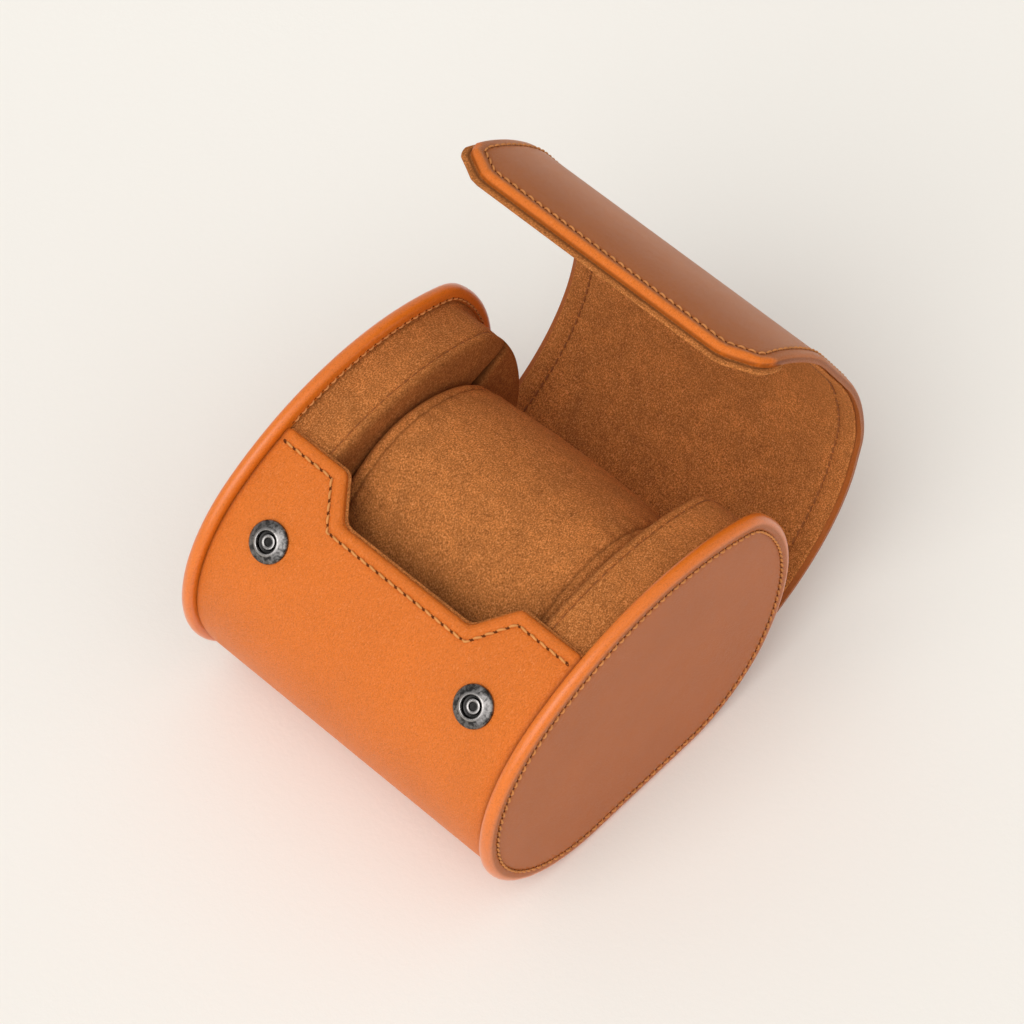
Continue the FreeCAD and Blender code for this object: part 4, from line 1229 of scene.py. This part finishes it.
class CASE_OT_snaps(bpy.types.Operator):
    """Make the snap sockets on the shell and the studs in the lid"""
    bl_idname = "travel_case.snaps"
    bl_label = "Snaps"

    def execute(self, context):
        foot = outline_point(SNAP_TURN, SHELL_INSET * MM) + np.array((CENTRING, 0))
        out = Vector((0, math.cos(math.radians(SNAP_TURN)), math.sin(math.radians(SNAP_TURN))))
        # Painted shade deep in the socket, and painted highlights on its lip and its post
        dark = [float(radius < 2.9 and height < 0.25) for radius, height in SOCKET_PROFILE]
        painted_highlight = [float(height > 1.45 or radius < 1.9 and height > 0.5) for radius, height in SOCKET_PROFILE]
        for name, side in SIDES:
            place = standing(out, Vector((side * SNAP_ACROSS * MM, *foot)))
            carry(spun(f"snap_ring_{name}", SOCKET_PROFILE, place, dark, painted_highlight), body="case",
                  replaces=(f"snap_socket_{name}", f"socket_post_{name}"))
            cap = middle_of(f"stud_cap_{name}")
            axis = (middle_of(f"snap_stud_{name}") - cap).normalized()
            carry(spun(f"snap_knob_{name}", STUD_PROFILE, standing(axis, cap + axis * MM)),
                  body="lid_flap", replaces=(f"snap_stud_{name}",))
        return {"FINISHED"}


def on_leather(points, heights):
    """Seams lie a little below the leather's face."""
    return SKIN.place(points, heights - SEAM_SINK * MM)


def on_lining(points, heights):
    """Seams of the lining lie in its groove and rise towards the inside."""
    return SKIN.place(points, -sizes().leather - sizes().suede + LINING_SEAM_SINK * MM - heights)


def on_cap(side, place, rise):
    """The face of an end cap at a place, whose seams rise outwards or inwards."""
    def put(points, heights):
        return np.column_stack((side * (place * MM + rise * heights), points))
    return put


def sew_front():
    """The seam along the front edge and round its notch."""
    corners, front = front_corners()
    line = offset_corners(corners, sizes().front_hem)[:len(front)]
    line[0, 0] = -(HALF_CAP - FRONT_SEAM_END) * MM
    line[-1, 0] = (HALF_CAP - FRONT_SEAM_END) * MM
    piece = sewn("front_stitches", line, on_leather, sizes().front_pitch, "thread", sizes().thread / MM)
    carry(piece, body="case")


def sew_lid(name, low, high, bends):
    """The seam along the edge of a stretch of the lid, and the rows that hold its lining."""
    hem, pitch = sizes().lid_hem, sizes().lid_pitch
    first = low + LID_SEAM_START * MM
    if high is None:
        last = SKIN.end_s - LID_SEAM_END * MM
        edge = offset_corners(lid_corners(low, None, HALF_LID * MM), hem)
        edge[0, 1] = edge[-1, 1] = first
        rows = [("edge", edge)]
    else:
        last = high - LID_SEAM_START * MM
        x = HALF_LID * MM - hem
        rows = [(part, np.array(((side * x, first), (side * x, last)))) for part, side in SIDES]
    for part, line in rows:
        piece = sewn(f"{name}_stitches_{part}", line, on_leather, pitch, "seam_thread", 0.28, slant=0.12,
                     hole=0.20, gap=0.11)
        carry(piece, bends=bends)
    for part, side in SIDES:
        x = side * (HALF_LID - LID_INNER_HEM) * MM
        piece = sewn(f"{name}_inner_stitches_{part}", np.array(((x, first), (x, last))), on_lining, pitch,
                     "dark_thread", 0.26, hole=0.27)
        carry(piece, bends=bends)


def sew_cap(name, side):
    """The seam round the panel of an end cap, and the one inside its rim."""
    inset, place = CAP_SEAM
    piece = sewn(f"cap_stitches_{name}", outline_loop(inset * MM, 0.8 * MM), on_cap(side, place, 1),
                 sizes().cap_pitch, "seam_thread", 0.30, slant=0.10, gap=0.17, closed=True)
    carry(piece, body="case")
    inset, place = CAP_INNER_SEAM
    arc = np.array([outline_point(turn, inset * MM) for turn in np.linspace(-20, FRONT_EDGE_TURN - 1, 90)])
    piece = sewn(f"cap_inner_stitches_{name}", arc + (CENTRING, 0), on_cap(side, place, -1),
                 sizes().lid_pitch, "seam_thread", 0.24, hole=0.24, gap=0.15)
    carry(piece, body="case")


def sew_cheek(name, side):
    """The fine seam in the piping of a cheek. Its line counts turns, as lengths along an arc of a radius."""
    radius = 40 * MM
    inset, place = CHEEK_SEAM

    def on_piping(points, heights):
        turns = np.degrees(points[:, 0] / radius)
        return np.array([(side * place * MM, *(outline_point(turn, inset * MM - height) + (CENTRING, 0)))
                         for turn, height in zip(turns, heights)])

    line = [(math.radians(turn) * radius, 0.0) for turn in (-60, FRONT_EDGE_TURN + 20)]
    piece = sewn(f"cheek_stitches_{name}", line, on_piping, 1.6 * MM, "dark_thread", 0.16, slant=0.0,
                 hole=0.12)
    carry(piece, body="case")


class CASE_OT_stitching(bpy.types.Operator):
    """Sew the front edge, the end caps and the lid"""
    bl_idname = "travel_case.stitching"
    bl_label = "Stitching"

    def execute(self, context):
        sew_front()
        for name, low, high, bends, _ in LID_STRETCHES:
            sew_lid(name, low, high, bends)
        for name, side in SIDES:
            sew_cap(name, side)
            sew_cheek(name, side)
        return {"FINISHED"}


class CASE_OT_inner_parts(bpy.types.Operator):
    """Finish the boards and caps that stay as they are inside the case"""
    bl_idname = "travel_case.inner_parts"
    bl_label = "Inner parts"

    def execute(self, context):
        for name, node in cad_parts.items():
            if not node.hide_render:
                finish = "snap_metal" if name.startswith("stud_cap") else "stiffener"
                node.data.materials.clear()
                node.data.materials.append(finish_of(finish))
        return {"FINISHED"}


def place_floor(scene):
    mesh = bpy.data.meshes.new("floor")
    corners = [(x * FLOOR_HALF, y * FLOOR_HALF, 0) for x, y in ((-1, -1), (1, -1), (1, 1), (-1, 1))]
    mesh.from_pydata(corners, [], [(0, 1, 2, 3)])
    mesh.materials.append(finish_of("floor"))
    floor = bpy.data.objects.new("floor", mesh)
    scene.collection.objects.link(floor)


def light_studio(scene):
    scene.world = bpy.data.worlds.new("studio")
    scene.world.use_nodes = True
    background = scene.world.node_tree.nodes["Background"]
    background.inputs["Color"].default_value = (1.0, 1.0, 1.0, 1.0)
    background.inputs["Strength"].default_value = SKY_STRENGTH
    for name, strength, width, across, along in LAMPS:
        light = bpy.data.lights.new(name, "SUN")
        light.energy = strength
        light.angle = math.radians(width)
        lamp = bpy.data.objects.new(name, light)
        lamp.rotation_euler = Vector((across, along, 1.0)).to_track_quat("Z", "Y").to_euler()
        scene.collection.objects.link(lamp)


def place_camera(scene):
    camera = bpy.data.cameras.new("camera")
    camera.lens, camera.sensor_width, camera.clip_end = CAMERA_LENS, CAMERA_SENSOR, CAMERA_END
    azimuth, elevation = math.radians(CAMERA_AZIMUTH), math.radians(CAMERA_ELEVATION)
    back = Vector((math.sin(azimuth) * math.cos(elevation), -math.cos(azimuth) * math.cos(elevation),
                   math.sin(elevation)))
    right = Vector((math.cos(azimuth), math.sin(azimuth), 0))
    up = back.cross(right)
    matrix = Matrix((right, up, back)).transposed().to_4x4()
    place = (right * CAMERA_RIGHT + up * CAMERA_UP + back * CAMERA_BACK) * MM
    matrix.translation = place + Vector((0, CENTRING, 0))
    scene.camera = bpy.data.objects.new("camera", camera)
    scene.camera.matrix_world = matrix
    scene.collection.objects.link(scene.camera)


class CASE_OT_stage(bpy.types.Operator):
    """Set the floor, the lamps and the camera"""
    bl_idname = "travel_case.stage"
    bl_label = "Stage"

    def execute(self, context):
        place_floor(context.scene)
        light_studio(context.scene)
        place_camera(context.scene)
        context.scene.view_settings.view_transform = "Standard"
        return {"FINISHED"}


class CASE_PT_panel(bpy.types.Panel):
    """Lists the steps that dress the case"""
    bl_idname = "CASE_PT_panel"
    bl_label = "Travel Case"
    bl_space_type = "VIEW_3D"
    bl_region_type = "UI"
    bl_category = "Travel Case"

    def draw(self, context):
        for step in STEPS:
            self.layout.operator(step.bl_idname)
        for group in (context.scene.case_sizes, context.scene.case_colours):
            for name in group.__annotations__:
                self.layout.prop(group, name)


STEPS = (CASE_OT_stage, CASE_OT_end_caps, CASE_OT_cheeks, CASE_OT_leather, CASE_OT_lining, CASE_OT_cushion,
         CASE_OT_snaps, CASE_OT_stitching, CASE_OT_inner_parts)
CLASSES = (CaseSizes, CaseColours, *STEPS, CASE_PT_panel)


def register():
    for each in CLASSES:
        bpy.utils.register_class(each)
    bpy.types.Scene.case_sizes = PointerProperty(type=CaseSizes)
    bpy.types.Scene.case_colours = PointerProperty(type=CaseColours)


def unregister():
    del bpy.types.Scene.case_colours
    del bpy.types.Scene.case_sizes
    for each in reversed(CLASSES):
        bpy.utils.unregister_class(each)


def main():
    register()
    bpy.ops.travel_case.stage()
    bpy.ops.travel_case.end_caps()
    bpy.ops.travel_case.cheeks()
    bpy.ops.travel_case.leather()
    bpy.ops.travel_case.lining()
    bpy.ops.travel_case.cushion()
    bpy.ops.travel_case.snaps()
    bpy.ops.travel_case.stitching()
    bpy.ops.travel_case.inner_parts()


if __name__ == "__main__":
    main()
